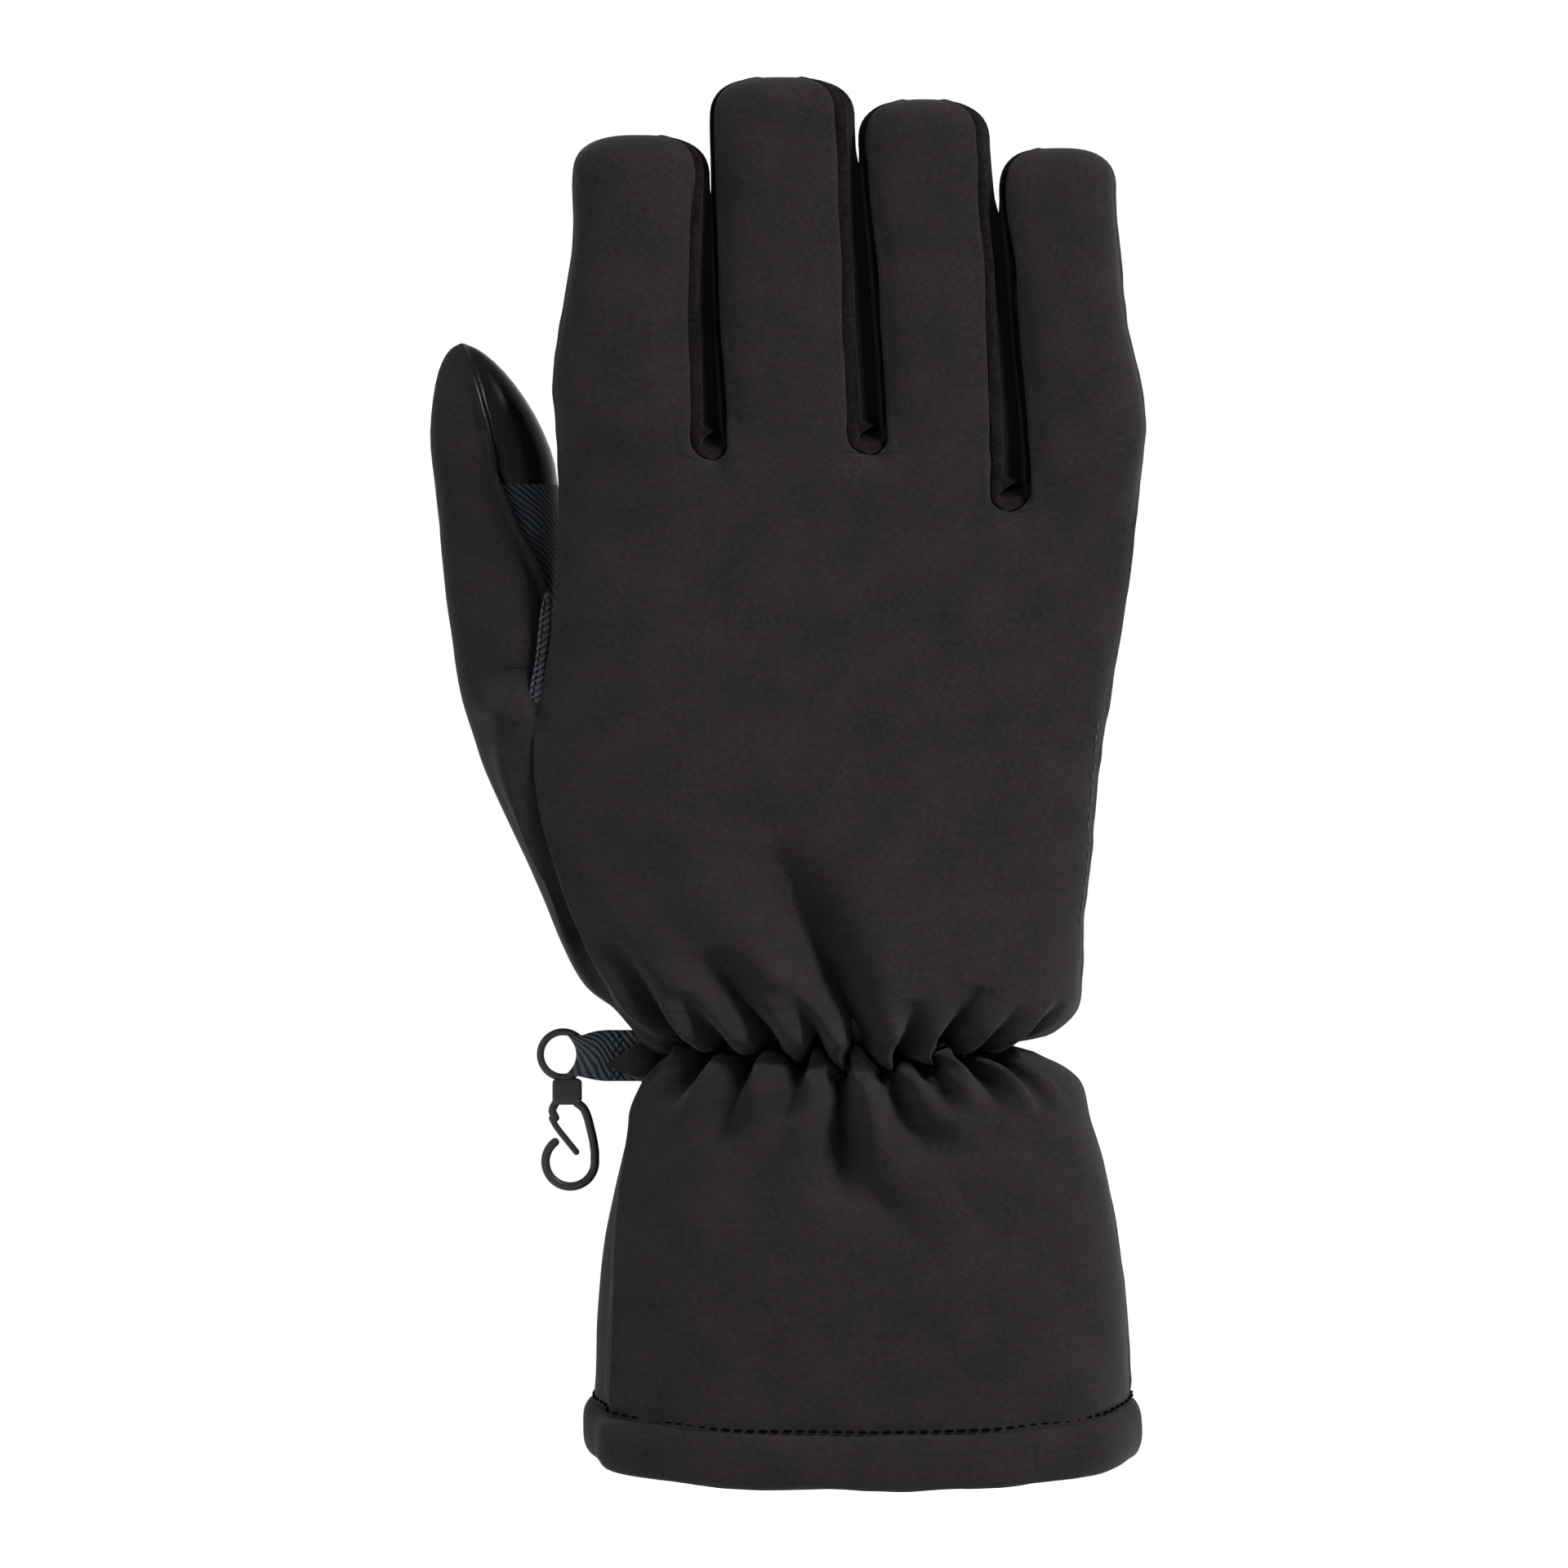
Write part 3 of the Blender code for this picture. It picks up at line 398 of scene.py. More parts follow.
# Valleys of the gathered cloth on the back: where each starts and ends, how deep and how wide it is.
VALLEYS = [
    (3.2, 3.8, -14.6, 42.0, 5.6, 2.6, 7.5), (-15.0, 3.0, -26.4, 20.5, 4.0, 2.0, 4.6),
    (-32.6, 3.5, -47.0, 23.6, 3.2, 2.0, 4.4), (20.5, 3.5, 27.0, 13.5, 3.2, 1.9, 3.8),
    (-24.3, 2.4, -32.0, 13.0, 2.4, 1.7, 3.2), (-5.3, 3.5, -10.5, 14.0, 2.6, 1.7, 3.2),
    (11.8, 0.8, 13.5, 11.0, 2.6, 1.7, 3.0), (27.8, 0.8, 34.0, 10.0, 2.2, 1.6, 3.0),
    (34.6, 2.2, 42.0, 10.0, 1.8, 1.4, 3.0), (-1.6, -4.3, -0.6, -29.0, 5.2, 2.2, 4.6),
    (-20.3, -2.0, -25.2, -18.5, 3.4, 2.0, 4.0), (7.7, -4.3, 17.5, -20.5, 3.2, 2.0, 4.4),
    (25.0, -1.4, 31.5, -12.5, 3.0, 1.8, 3.6), (-9.4, -3.2, -11.0, -13.0, 2.6, 1.7, 3.2),
    (16.3, -3.7, 21.5, -12.5, 2.6, 1.7, 3.2), (-27.7, -1.4, -33.0, -10.5, 2.6, 1.7, 3.0),
    (-36.3, -0.8, -40.0, -11.0, 1.8, 1.4, 3.0), (31.6, -1.2, 39.5, -12.0, 2.0, 1.5, 3.2),
    (2.0, -22.0, 22.0, -44.0, 1.5, 4.0, 8.0), (17.5, -20.5, 34.0, -40.0, 1.1, 4.5, 7.0),
    (-13.6, 40.0, -19.0, 52.0, 0.7, 6.0, 8.0),
]


MM_PER_DEGREE = 0.56
GIRTH = 360 * MM_PER_DEGREE


def around(x, y, z):
    """Millimetres round the wrist from the middle of the back, positive towards +X."""
    centre, half = outline_middle(z)
    depth = (BACK(z) + PALM(z)) / 2
    return np.degrees(np.arctan2((x - centre) / half, -y / depth)) * MM_PER_DEGREE


def back_x(x, z):
    """The same measure for a place on the back given by its x."""
    centre, half = outline_middle(z)
    share = np.clip((x - centre) / half, -0.995, 0.995)
    y = -BACK(z) * (1 - abs(share) ** HAND_N) ** (1 / HAND_N)
    return float(around(x, y, z))


def palm_lists():
    """The palm side's gathers: like the back's, mirrored and shuffled along."""
    peaks = [(x + 1.5 * math.sin(x), z * 0.8) for x, z in PEAKS]
    lows = [(x + 1.2 * math.sin(x * 0.7), z * 0.8) for x, z in LOWS]
    valleys = []
    for k, (x0, z0, x1, z1, d, w0, w1) in enumerate(VALLEYS[:18]):
        reach = 0.55 + 0.35 * abs(math.sin(k * 2.1))
        start, end = (x0 + 1.5 * math.sin(x0), z0 * 0.8), (mix(x0, x1, 0.5), z0 + (z1 - z0) * reach)
        valleys.append((*start, *end, d * 0.8, w0, w1))
    return peaks, lows, valleys


def gather_tables():
    """The crease and the valleys of both sides, by millimetres round the wrist."""
    crease, valleys = [], []
    palm_peaks, palm_lows, palm_valleys = palm_lists()
    for x, z in PEAKS + LOWS:
        crease.append((back_x(x, 0.0), z))
    for x, z in palm_peaks + palm_lows:
        place = GIRTH / 2 - back_x(x, 0.0)
        crease.append((place if place < GIRTH / 2 else place - GIRTH, z))
    for x0, z0, x1, z1, d, w0, w1 in VALLEYS:
        valleys.append((back_x(x0, z0), z0, back_x(x1, z1), z1, d, w0, w1))
    for x0, z0, x1, z1, d, w0, w1 in palm_valleys:
        valleys.append((GIRTH / 2 - back_x(x0, z0), z0, GIRTH / 2 - back_x(x1, z1), z1, d, w0, w1))
    return sorted(crease), valleys


CREASE, GATHERS = gather_tables()


def crease_height(s):
    """Height of the bottom of the crease at a place round the wrist."""
    places, heights = np.array(CREASE).T
    places = np.concatenate([places - GIRTH, places, places + GIRTH])
    return np.interp(s, places, np.tile(heights, 3))


def gathers(points):
    """How far the cloth stands out (positive) or is drawn in (negative) near the wrist."""
    x, y, z = points[..., 0], points[..., 1], points[..., 2]
    s = around(x, y, z)
    crease = crease_height(s)
    away = z - crease
    out = -5.8 * bump(away, 1.0) - 2.4 * bump(away, 3.2)
    out += 1.5 * bump(np.abs(away) - 7.0, 5.0)
    for s0, z0, s1, z1, depth, narrow, wide in GATHERS:
        length = math.hypot(s1 - s0, z1 - z0)
        ds = (s - s0 + GIRTH / 2) % GIRTH - GIRTH / 2
        dz = z - z0
        along = (ds * (s1 - s0) + dz * (z1 - z0)) / length**2
        across = np.abs(ds * (z1 - z0) - dz * (s1 - s0)) / length
        inside = np.clip(along, 0, 1)
        over = np.where(along < 0, -along * length, np.where(along > 1, (along - 1) * length, 0))
        width = mix(0.8 * narrow, 0.75 * wide, inside)
        fall = (1 - inside) ** 0.75 * bump(over, 1.6)
        if abs(z0) > 8:
            fall = fall * ease(0, 0.4, inside)
        fold = 0.6 * bump(across, width) + 0.4 * np.exp(-across / (0.6 * width))
        out += 2.7 * depth * fall * (0.25 * bump(across - width * 2.0, width) - fold)
    return out


def mouth_height(points):
    """Height of the line where the hem is sewn on: lowest in the middle of the back, higher at the sides."""
    share = np.clip((points[..., 1] + 30) / 60, 0, 1)
    return -74.2 + 6.6 * share + 3.2 * (1 - np.abs(2 * share - 1) ** 1.7)


def wrinkles(points, seed=0):
    """The faint unevenness of padded cloth."""
    x, y, z = points[..., 0], points[..., 1], points[..., 2]
    slanted = np.stack([(x + 0.7 * z) * 0.9, y, (z - 0.7 * x) * 0.35], -1)
    loose = 0.35 + 0.35 * ease(-10, -30, z) + 0.2 * bump(z - 22, 22)
    fine = 0.13 * noise(points, 10, seed + 2) + 0.05 * noise(points, 4.5, seed + 3)
    return 0.25 * noise(points, 24, seed + 1) + fine + loose * noise(slanted, 13, seed + 4)


# --------------------------------------------------------------------------------------- grids


def grid_normals(p, outward):
    du = np.gradient(p, axis=1)
    dv = np.gradient(p, axis=0)
    n = unit(np.cross(du, dv))
    return n if outward else -n


def row_arc(p):
    """Distance along each row from its left edge, and from its right edge."""
    step = np.linalg.norm(np.diff(p, axis=1), axis=-1)
    left = np.concatenate([np.zeros((len(p), 1)), np.cumsum(step, axis=1)], axis=1)
    return left, left[:, -1:] - left


def axis_direction(p, digit, crotch):
    """Directions straight out from the hand's axis low down and from the digit's axis higher up."""
    z = p[..., 2]
    hand = np.stack([(p[..., 0] - (SEAM_X(z) + RIGHT(z)) / 2) * 0.12, p[..., 1], 0 * z], -1)
    own = np.stack([p[..., 0] - digit.centre(np.minimum(z, digit.foot)), p[..., 1] - digit.y(z), 0 * z], -1)
    return unit(mix(unit(hand), unit(own), ease(crotch - 2, crotch + 8, z)[..., None]))


def seam_dent(distance, z, seed):
    """The dent along a seam: sharp at the stitches, with small puckers, and cloth standing up beside it."""
    places = np.stack([z, 0 * z + seed, 0 * z], -1)
    pucker = 1 + 0.4 * noise(places, 3.4, seed)
    return -1.5 * pucker * bump(distance, 0.6) + 0.35 * pucker * bump(distance - 1.7, 1.0)


class Panel:
    """A grid of points with its normals and texture coordinates, from which pieces are cut by rows."""

    def __init__(self, points, outward):
        self.p = points
        self.n = grid_normals(points, outward)
        left, right = row_arc(points)
        middle = (left - right) / 2
        rise = np.linalg.norm(np.diff(points, axis=0), axis=-1).mean(axis=1)
        up = np.concatenate([[0], np.cumsum(rise)])[:, None] + 0 * middle
        self.uv = np.stack([middle, up], -1)
        self.outward = outward


def sew_normals(left, right, count):
    """Makes two panels shade as one across their shared edge, over the first rows."""
    left.n[:count, -1] = right.n[:count, 0] = unit(left.n[:count, -1] + right.n[:count, 0])


# ------------------------------------------------------------------------------------- materials


class Finish:
    """A material while it is put together, with short ways to add nodes to it."""

    def __init__(self, name, place=("UVMap", "UV")):
        self.made = bpy.data.materials.new(name)
        self.made.use_nodes = True
        self.tree = self.made.node_tree
        self.shader = self.tree.nodes["Principled BSDF"]
        self.place = self.add(*place, {})

    def put(self, node, values):
        """Sets a node's inputs: to numbers, or to another node's output."""
        for name, value in values.items():
            if isinstance(value, bpy.types.NodeSocket):
                self.tree.links.new(value, node.inputs[name])
            else:
                node.inputs[name].default_value = value

    def add(self, kind, output, values, **options):
        node = self.tree.nodes.new("ShaderNode" + kind)
        for option, value in options.items():
            setattr(node, option, value)
        self.put(node, values)
        return node.outputs[output]

    def noise(self, scale, detail, roughness=0.55):
        values = {"Scale": scale, "Detail": detail, "Roughness": roughness, "Vector": self.place}
        return self.add("TexNoise", "Fac", values)

    def blend(self, share, low, high):
        return self.add("Mix", "Result", {"Factor": share, "A": low, "B": high}, data_type="RGBA")

    def plus(self, a, b):
        return self.add("Math", "Value", {0: a, 1: b}, operation="ADD")

    def times(self, a, b):
        return self.add("Math", "Value", {0: a, 1: b}, operation="MULTIPLY")

    def surface(self, colour, roughness, specular, values=()):
        inputs = {"Base Color": colour, "Roughness": roughness, "Specular IOR Level": specular}
        self.put(self.shader, {**inputs, **dict(values)})

    def bump(self, height, strength, distance):
        values = {"Height": height, "Strength": strength, "Distance": distance}
        self.put(self.shader, {"Normal": self.add("Bump", "Normal", values)})


def softshell_material(name, painted_slot_shade=False):
    """The shell cloth. With the second argument set, for the fingers' sides that face the slots, a strip of
    shell cloth by the front edge gives way to painted shade, near black, deeper in the slot.
    """
    cloth = Finish(name)
    fine, broad = cloth.noise(900, 2), cloth.noise(90, 4)
    both = cloth.plus(cloth.times(fine, 0.55), cloth.times(broad, 0.45))
    share = cloth.add("MapRange", "Result", {"Value": both, "From Min": 0.35, "From Max": 0.65})
    colour = cloth.blend(share, (0.0017, 0.0012, 0.0014, 1), (0.0057, 0.0042, 0.0048, 1))
    if painted_slot_shade:
        # Painted shade: from 2 to 3 mm in from the front edge the colour turns near black, as the slot's
        # shadow would make it.
        across = cloth.add("SeparateXYZ", "X", {"Vector": cloth.place})
        slot_shade_share = cloth.add("MapRange", "Result", {"Value": across, "From Min": 0.0020, "From Max": 0.0030})
        colour = cloth.blend(slot_shade_share, colour, (0.0006, 0.0005, 0.0007, 1))
    sheen = {"Sheen Weight": 0.02, "Sheen Roughness": 0.55, "Sheen Tint": (0.9, 0.88, 0.9, 1)}
    cloth.surface(colour, 0.86, 0.0 if painted_slot_shade else 0.08, sheen)
    bands = {"Scale": 420, "Distortion": 1.5, "Vector": cloth.place}
    weave = cloth.add("TexWave", "Fac", bands, bands_direction="DIAGONAL")
    cloth.bump(cloth.plus(cloth.times(weave, 0.5), fine), 0.35, 0.00012)
    return cloth.made


def rib_material(name, low, high, pitch, roughness, tilt, specular):
    """Cloth with raised diagonal ribs, pitch apart in metres, and finer ribs across them."""
    cloth = Finish(name)
    turned = cloth.add("Mapping", "Vector", {"Rotation": (0, 0, math.radians(tilt)), "Vector": cloth.place})
    wave = 2 * math.pi / 20
    bands = {"Scale": wave / pitch, "Distortion": 0.4, "Detail": 1, "Vector": turned}
    ribs = cloth.add("TexWave", "Fac", bands, bands_direction="X")
    bands = {"Scale": wave / (pitch * 0.42), "Vector": turned}
    cross = cloth.add("TexWave", "Fac", bands, bands_direction="Y")
    worn = cloth.noise(260, 3)
    shade = cloth.times(ribs, cloth.plus(cloth.times(worn, 0.6), 0.65))
    cloth.surface(cloth.blend(shade, low, high), roughness, specular)
    cloth.bump(cloth.plus(ribs, cloth.times(cross, 0.18)), 0.8, 0.00028)
    return cloth.made


def leather_material():
    leather = Finish("thumb_leather")
    grain = leather.add("TexVoronoi", "Distance", {"Scale": 900, "Vector": leather.place})
    patch = leather.noise(160, 4)
    gloss = leather.add("MapRange", "Result", {"To Min": 0.2, "To Max": 0.38, "Value": patch})
    colour = leather.blend(patch, (0.0007, 0.0009, 0.0011, 1), (0.0018, 0.0022, 0.0026, 1))
    leather.surface(colour, gloss, 0.07)
    leather.bump(grain, 0.25, 0.0001)
    return leather.made


def speckled_material(name, place, spread, low, high, surface, relief=None):
    """A finish between two tones. spread is its noise's scale, detail and roughness."""
    finish = Finish(name, place)
    speckle = finish.noise(*spread)
    finish.surface(finish.blend(speckle, low, high), *surface)
    if relief:
        finish.bump(speckle, *relief)
    return finish.made


def thread_material(name, low, high):
    return speckled_material(name, ON_OBJECT, (4000, 2), low, high, (0.8, 0.0))


ON_CLOTH, ON_OBJECT = ("UVMap", "UV"), ("TexCoord", "Object")
SOFTSHELL = softshell_material("softshell_cloth")
# The slots' side walls: shell cloth with painted shade deeper in the slots.
SIDES_PAINTED_SHADE = softshell_material("side_cloth_painted_shade", True)
TWILL = rib_material(
    "palm_twill", (0.0006, 0.001, 0.0013, 1), (0.0135, 0.0165, 0.02, 1), 0.00125, 0.6, 38, 0.07
)
WEBBING = rib_material(
    "strap_webbing", (0.0012, 0.0018, 0.0023, 1), (0.023, 0.0275, 0.033, 1), 0.00115, 0.55, 52, 0.12
)
LEATHER = leather_material()
FLEECE = speckled_material(
    "lining_fleece", ON_CLOTH, (700, 5, 0.7), (0.012, 0.012, 0.013, 1), (0.05, 0.05, 0.053, 1),
    (0.95, 0.1, {"Sheen Weight": 0.05}), (0.9, 0.0005),
)
PLASTIC = speckled_material(
    "hook_plastic", ON_OBJECT, (900, 3), (0.004, 0.0048, 0.0053, 1), (0.008, 0.0092, 0.01, 1),
    (0.4, 0.14), (0.2, 0.0001),
)
THREAD = thread_material("seam_thread", (0.0003, 0.0003, 0.0004, 1), (0.0011, 0.0011, 0.0013, 1))
GREY_THREAD = thread_material("grey_thread", (0.014, 0.016, 0.018, 1), (0.03, 0.034, 0.038, 1))
LABEL = speckled_material(
    "woven_label", ON_CLOTH, (1500, 2), (0.5, 0.5, 0.48, 1), (0.66, 0.66, 0.63, 1), (0.7, 0.5)
)


# ---------------------------------------------------------------------------------------- pieces


def mesh_piece(name, verts, faces, material, normals=None, uvs=None):
    """An object in metres from points in millimetres."""
    mesh = bpy.data.meshes.new(name)
    mesh.from_pydata((np.asarray(verts) * MM).tolist(), [], [list(map(int, f)) for f in faces])
    mesh.materials.append(material)
    mesh.update()
    if uvs is not None:
        layer = mesh.uv_layers.new(name="UVMap")
        loops = np.zeros(len(mesh.loops), np.int32)
        mesh.loops.foreach_get("vertex_index", loops)
        layer.data.foreach_set("uv", (np.asarray(uvs)[loops] * MM).astype(np.float32).ravel())
    mesh.polygons.foreach_set("use_smooth", np.ones(len(mesh.polygons), bool))
    if normals is not None:
        mesh.normals_split_custom_set_from_vertices(np.asarray(normals).tolist())
    obj = bpy.data.objects.new(name, mesh)
    bpy.context.scene.collection.objects.link(obj)
    return obj


def grid_faces(rows, columns, flip):
    """The quads of a grid of points, as vertex numbers."""
    index = np.arange(rows * columns).reshape(rows, columns)
    a, b, c, d = index[:-1, :-1], index[:-1, 1:], index[1:, 1:], index[1:, :-1]
    quads = np.stack([a, b, c, d], -1).reshape(-1, 4)
    return quads[:, ::-1] if flip else quads


def cut_piece(name, panels, material):
    """A piece from the same rows of one or more panels."""
    verts, faces, normals, uvs, base = [], [], [], [], 0
    for panel, span in panels:
        first, last = span if span is not None else (0, len(panel.p))
        p = panel.p[first:last]
        count, columns = p.shape[:2]
        quads = grid_faces(count, columns, not panel.outward)
        flat = p.reshape(-1, 3)
        for quad in quads:
            points = flat[quad]
            keep = [k for k in range(4) if np.abs(points[k] - points[(k + 1) % 4]).max() > 1e-4]
            if len(keep) >= 3:
                faces.append([quad[k] + base for k in keep])
        verts.append(flat)
        normals.append(panel.n[first:last].reshape(-1, 3))
        uvs.append(panel.uv[first:last].reshape(-1, 2))
        base += len(flat)
    verts, normals, uvs = (np.concatenate(parts) for parts in (verts, normals, uvs))
    return mesh_piece(name, verts, faces, material, normals, uvs)


# ------------------------------------------------------------------------------- fingers and hand

# Columns of points across each finger's strip on the back (0) and on the palm side (1).
COLUMNS = {0: [48, 48, 46, 48], 1: [32, 32, 30, 32]}


def finger_grid(number, side):
    """A finger's strip of the back or the palm, from the hem to the fingertip."""
    digit = FINGERS[number - 1]
    low, high = finger_rows(digit)
    heights = joined(BODY_ROWS, low, high)
    columns = COLUMNS[side][number - 1]
    strip, tip = strip_grid(number, side, heights, columns), dome_grid(number, side, TURNS, columns)
    return np.concatenate([strip, tip])


def relief(points, number, side):
    """Adds the gathers, the unevenness and the seams' dents to a finger strip."""
    digit = FINGERS[number - 1]
    outward = side == 0
    normals = grid_normals(points, outward)
    left, right = row_arc(points)
    z = points[..., 2]
    crotch_left, crotch_right = CROTCHES[number - 1], CROTCHES[number]
    seam_left = 1.0 if number == 1 else ease(crotch_left - 0.5, crotch_left + 2, z)
    seam_right = 1.0 if number == 4 else ease(crotch_right - 0.5, crotch_right + 2, z)
    edge = np.minimum(np.where(seam_left > 0, left, 99), np.where(seam_right > 0, right, 99))
    calm = np.concatenate([np.ones(len(points) - len(TURNS)), np.cos(np.radians(TURNS)) ** 0.5])[:, None]
    fade = ease(0, 3.0, edge) * calm
    lift = wrinkles(points, side * 7) * fade
    out = axis_direction(points, digit, max(crotch_left, crotch_right))
    lift = lift[..., None] * normals
    hem_dent = 0.8 * bump(z - mouth_height(points) - 1.1, 0.9)
    lift = lift - hem_dent[..., None] * normals * (z < -50)[..., None]
    near = z < 60
    gather = np.where(near, gathers(points), 0)
    centre, half = outline_middle(z)
    ellipse = np.stack([(points[..., 0] - centre) / half**2, points[..., 1] / BACK(z) ** 2, 0 * z], -1)
    ellipse = unit(ellipse)
    dents = seam_dent(left, z, number) * seam_left + seam_dent(right, z, number + 10) * seam_right
    for line, crotch, distance in ((number - 1, crotch_left, left), (number, crotch_right, right)):
        if line in (0, 4):
            continue
        dents = dents - 0.9 * bump(distance, 2.6) * bump(z - crotch + 1.0, 3.0) * (z <= crotch)
        beside = np.maximum(crotch - z, 0)
        ray = np.cos(2.6 * np.arctan2(beside, distance + 0.4) + line)
        dents = dents + 0.22 * (ray * bump(beside - 3.5, 3.5) * bump(distance, 5.0))
    return points + lift + gather[..., None] * ellipse + (dents * calm)[..., None] * out


def hand_strips(side):
    """The four fingers' strips of one side of the glove, with their relief."""
    grids = [finger_grid(n, side) for n in (1, 2, 3, 4)]
    for left, right, crotch in zip(grids, grids[1:], CROTCHES[1:]):
        shared = np.nonzero(left[:, -1, 2] <= crotch + 1e-6)[0]
        shared = shared[shared < min(len(left), len(right))]
        left[shared, -1] = right[shared, 0] = (left[shared, -1] + right[shared, 0]) / 2
    return [relief(points, n, side) for n, points in enumerate(grids, start=1)]


def match_edges(strips, crotch_rows):
    """Makes neighbouring strips meet exactly, up to the crotch between them."""
    for left, right, rows in zip(strips, strips[1:], crotch_rows):
        left[:rows, -1] = right[:rows, 0] = (left[:rows, -1] + right[:rows, 0]) / 2


def rows_up_to(number, height):
    """How many rows of a finger's strip lie at or below this height."""
    low, high = finger_rows(FINGERS[number - 1])
    return int((joined(BODY_ROWS, low, high) <= height + 1e-6).sum())


BACKS, PALMS = hand_strips(0), hand_strips(1)
SHARED = [rows_up_to(n, CROTCHES[n]) for n in (1, 2, 3)]
match_edges(BACKS, SHARED)
match_edges(PALMS, SHARED)

# The outer edges of the back and the palm meet along the little finger's side and the index's side.
above_thumb = int((BODY_ROWS < THUMB_CROTCH - 0.4).sum())
for finger, first, column in ((3, 0, -1), (0, above_thumb, 0)):
    back_edge, palm_edge = BACKS[finger][first:, column], PALMS[finger][first:, column]
    back_edge[:] = palm_edge[:] = (back_edge + palm_edge) / 2

BACK_PANELS = [Panel(p, True) for p in BACKS]
PALM_PANELS = [Panel(p, False) for p in PALMS]
# The cloth's pattern runs on across the strips, measured from the little finger's side.
for panels in (BACK_PANELS, PALM_PANELS):
    offset = np.zeros(len(BODY_ROWS))
    for panel in panels[::-1]:
        _, right = row_arc(panel.p)
        reach = np.pad(offset, (0, len(panel.p) - len(offset)), mode="edge")
        panel.uv[..., 0] = -right - reach[:, None]
        offset = offset + right[: len(offset), 0]
    for left, right, count in zip(panels, panels[1:], SHARED):
        sew_normals(left, right, count)


def slot_foot(number, on_right):
    """The height of the crotch beside a finger, and the number of its row."""
    crotch = CROTCHES[number] if on_right else CROTCHES[number - 1]
    return crotch, rows_up_to(number, crotch) - 1


def wall_panel(number, on_right):
    """The side wall of a finger between its back and its palm, from the crotch to the tip."""
    digit = FINGERS[number - 1]
    back, palm = BACKS[number - 1], PALMS[number - 1]
    column = -1 if on_right else 0
    crotch, first = slot_foot(number, on_right)
    front, rear = back[first:, column], palm[first:, column]
    w = shares(19, 0.6)[None, :, None]

    def arch(z):
        return 4.5 * np.sin(math.pi * w[..., 0]) ** 0.6 * (1 - ease(0, 9, np.maximum(z - crotch, 0)))

    straight = mix(front[:, None], rear[:, None], w)
    straight[..., 2] += arch(straight[..., 2])
    low, high = finger_rows(digit)
    heights = joined(BODY_ROWS, low, high)[first:]
    left, right = finger_angles(number, heights)
    start = right if on_right else left
    angles = mix(start[:, None], (-start if on_right else 360 - start)[:, None], w[..., 0])
    body = digit.ring(angles, heights[:, None])
    ring = np.concatenate([body, digit.dome(angles[-1][None, :], TURNS[:, None])])
    z = ring[..., 2]
    share = ease(crotch - 0.1, crotch + 2.6, z)[..., None]
    # The ring is carried to the panels' dented edges, which it meets exactly.
    ends = mix((front - ring[:, 0])[:, None], (rear - ring[:, -1])[:, None], w)
    from_front, from_rear = row_arc(ring)
    near_edge = np.maximum(bump(from_front, 0.9), bump(from_rear, 0.9))[..., None]
    near_edge[:, [0, -1]] = 1
    carried = ring + ends * near_edge
    if on_right:
        hollow = bump(w[..., 0] - 0.33, 0.15) * ease(crotch + 1, crotch + 7, z)
        carried[..., 0] -= 2.7 * (hollow * (1 - 0.6 * ease(digit.foot - 25, digit.foot, z)))
    carried[..., 2] += arch(z)
    points = mix(straight, carried, share)
    ridge = bump(row_arc(points)[0] - 1.5, 0.8) * ease(crotch, crotch + 3, z)
    points = points + (0.3 * ridge)[..., None] * axis_direction(points, digit, crotch)
    points[:, 0], points[:, -1] = front, rear
    loose = wrinkles(points, 30 + number) * 0.8 * ease(crotch, crotch + 3, z)
    points[:, 1:-1] += loose[:, 1:-1, None] * axis_direction(points, digit, crotch)[:, 1:-1]
    # The two walls of a slot rest against each other halfway between the back and the palm.
    pair = FINGERS[number - 1 : number + 1] if on_right else FINGERS[number - 2 : number]
    contact = (pair[0].right(z) + pair[1].left(z)) / 2 + (0.12 if on_right else -0.12)
    below_tips = min(pair[0].foot, pair[1].foot) - z
    touch = np.clip(1.7 * bump(w[..., 0] - 0.62, 0.12), 0, 1) * ease(0, 5, below_tips)
    touch[:, [0, -1]] = 0
    points[..., 0] = mix(points[..., 0], contact, touch)
    panel = Panel(points, not on_right)
    low = 1 - ease(crotch + 1, crotch + 7, points[..., 2])
    # The distance across also sets where the side cloth's painted slot shade begins: nearer the front edge on
    # the left walls, further in near the crotch.
    panel.uv[..., 0] = row_arc(points)[0] + (0 if on_right else 1.6) * (1 - low) - 1.6 * low
    return panel, first


def slot_sides(number):
    """The sides of a finger that face a slot."""
    return [side for side in (("left", False), ("right", True)) if number != (4 if side[1] else 1)]


def finger_cut(number):
    """Row numbers where a finger's pieces are cut: the top of the hand, and the middle of the near part."""
    digit = FINGERS[number - 1]
    low, _ = finger_rows(digit)
    return len(BODY_ROWS) - 1, len(BODY_ROWS) + len(low) - 2


def blend_finger(low, high):
    """Bakes the placement of a finger's low and high pieces into their points."""
    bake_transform(low)
    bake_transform(high)


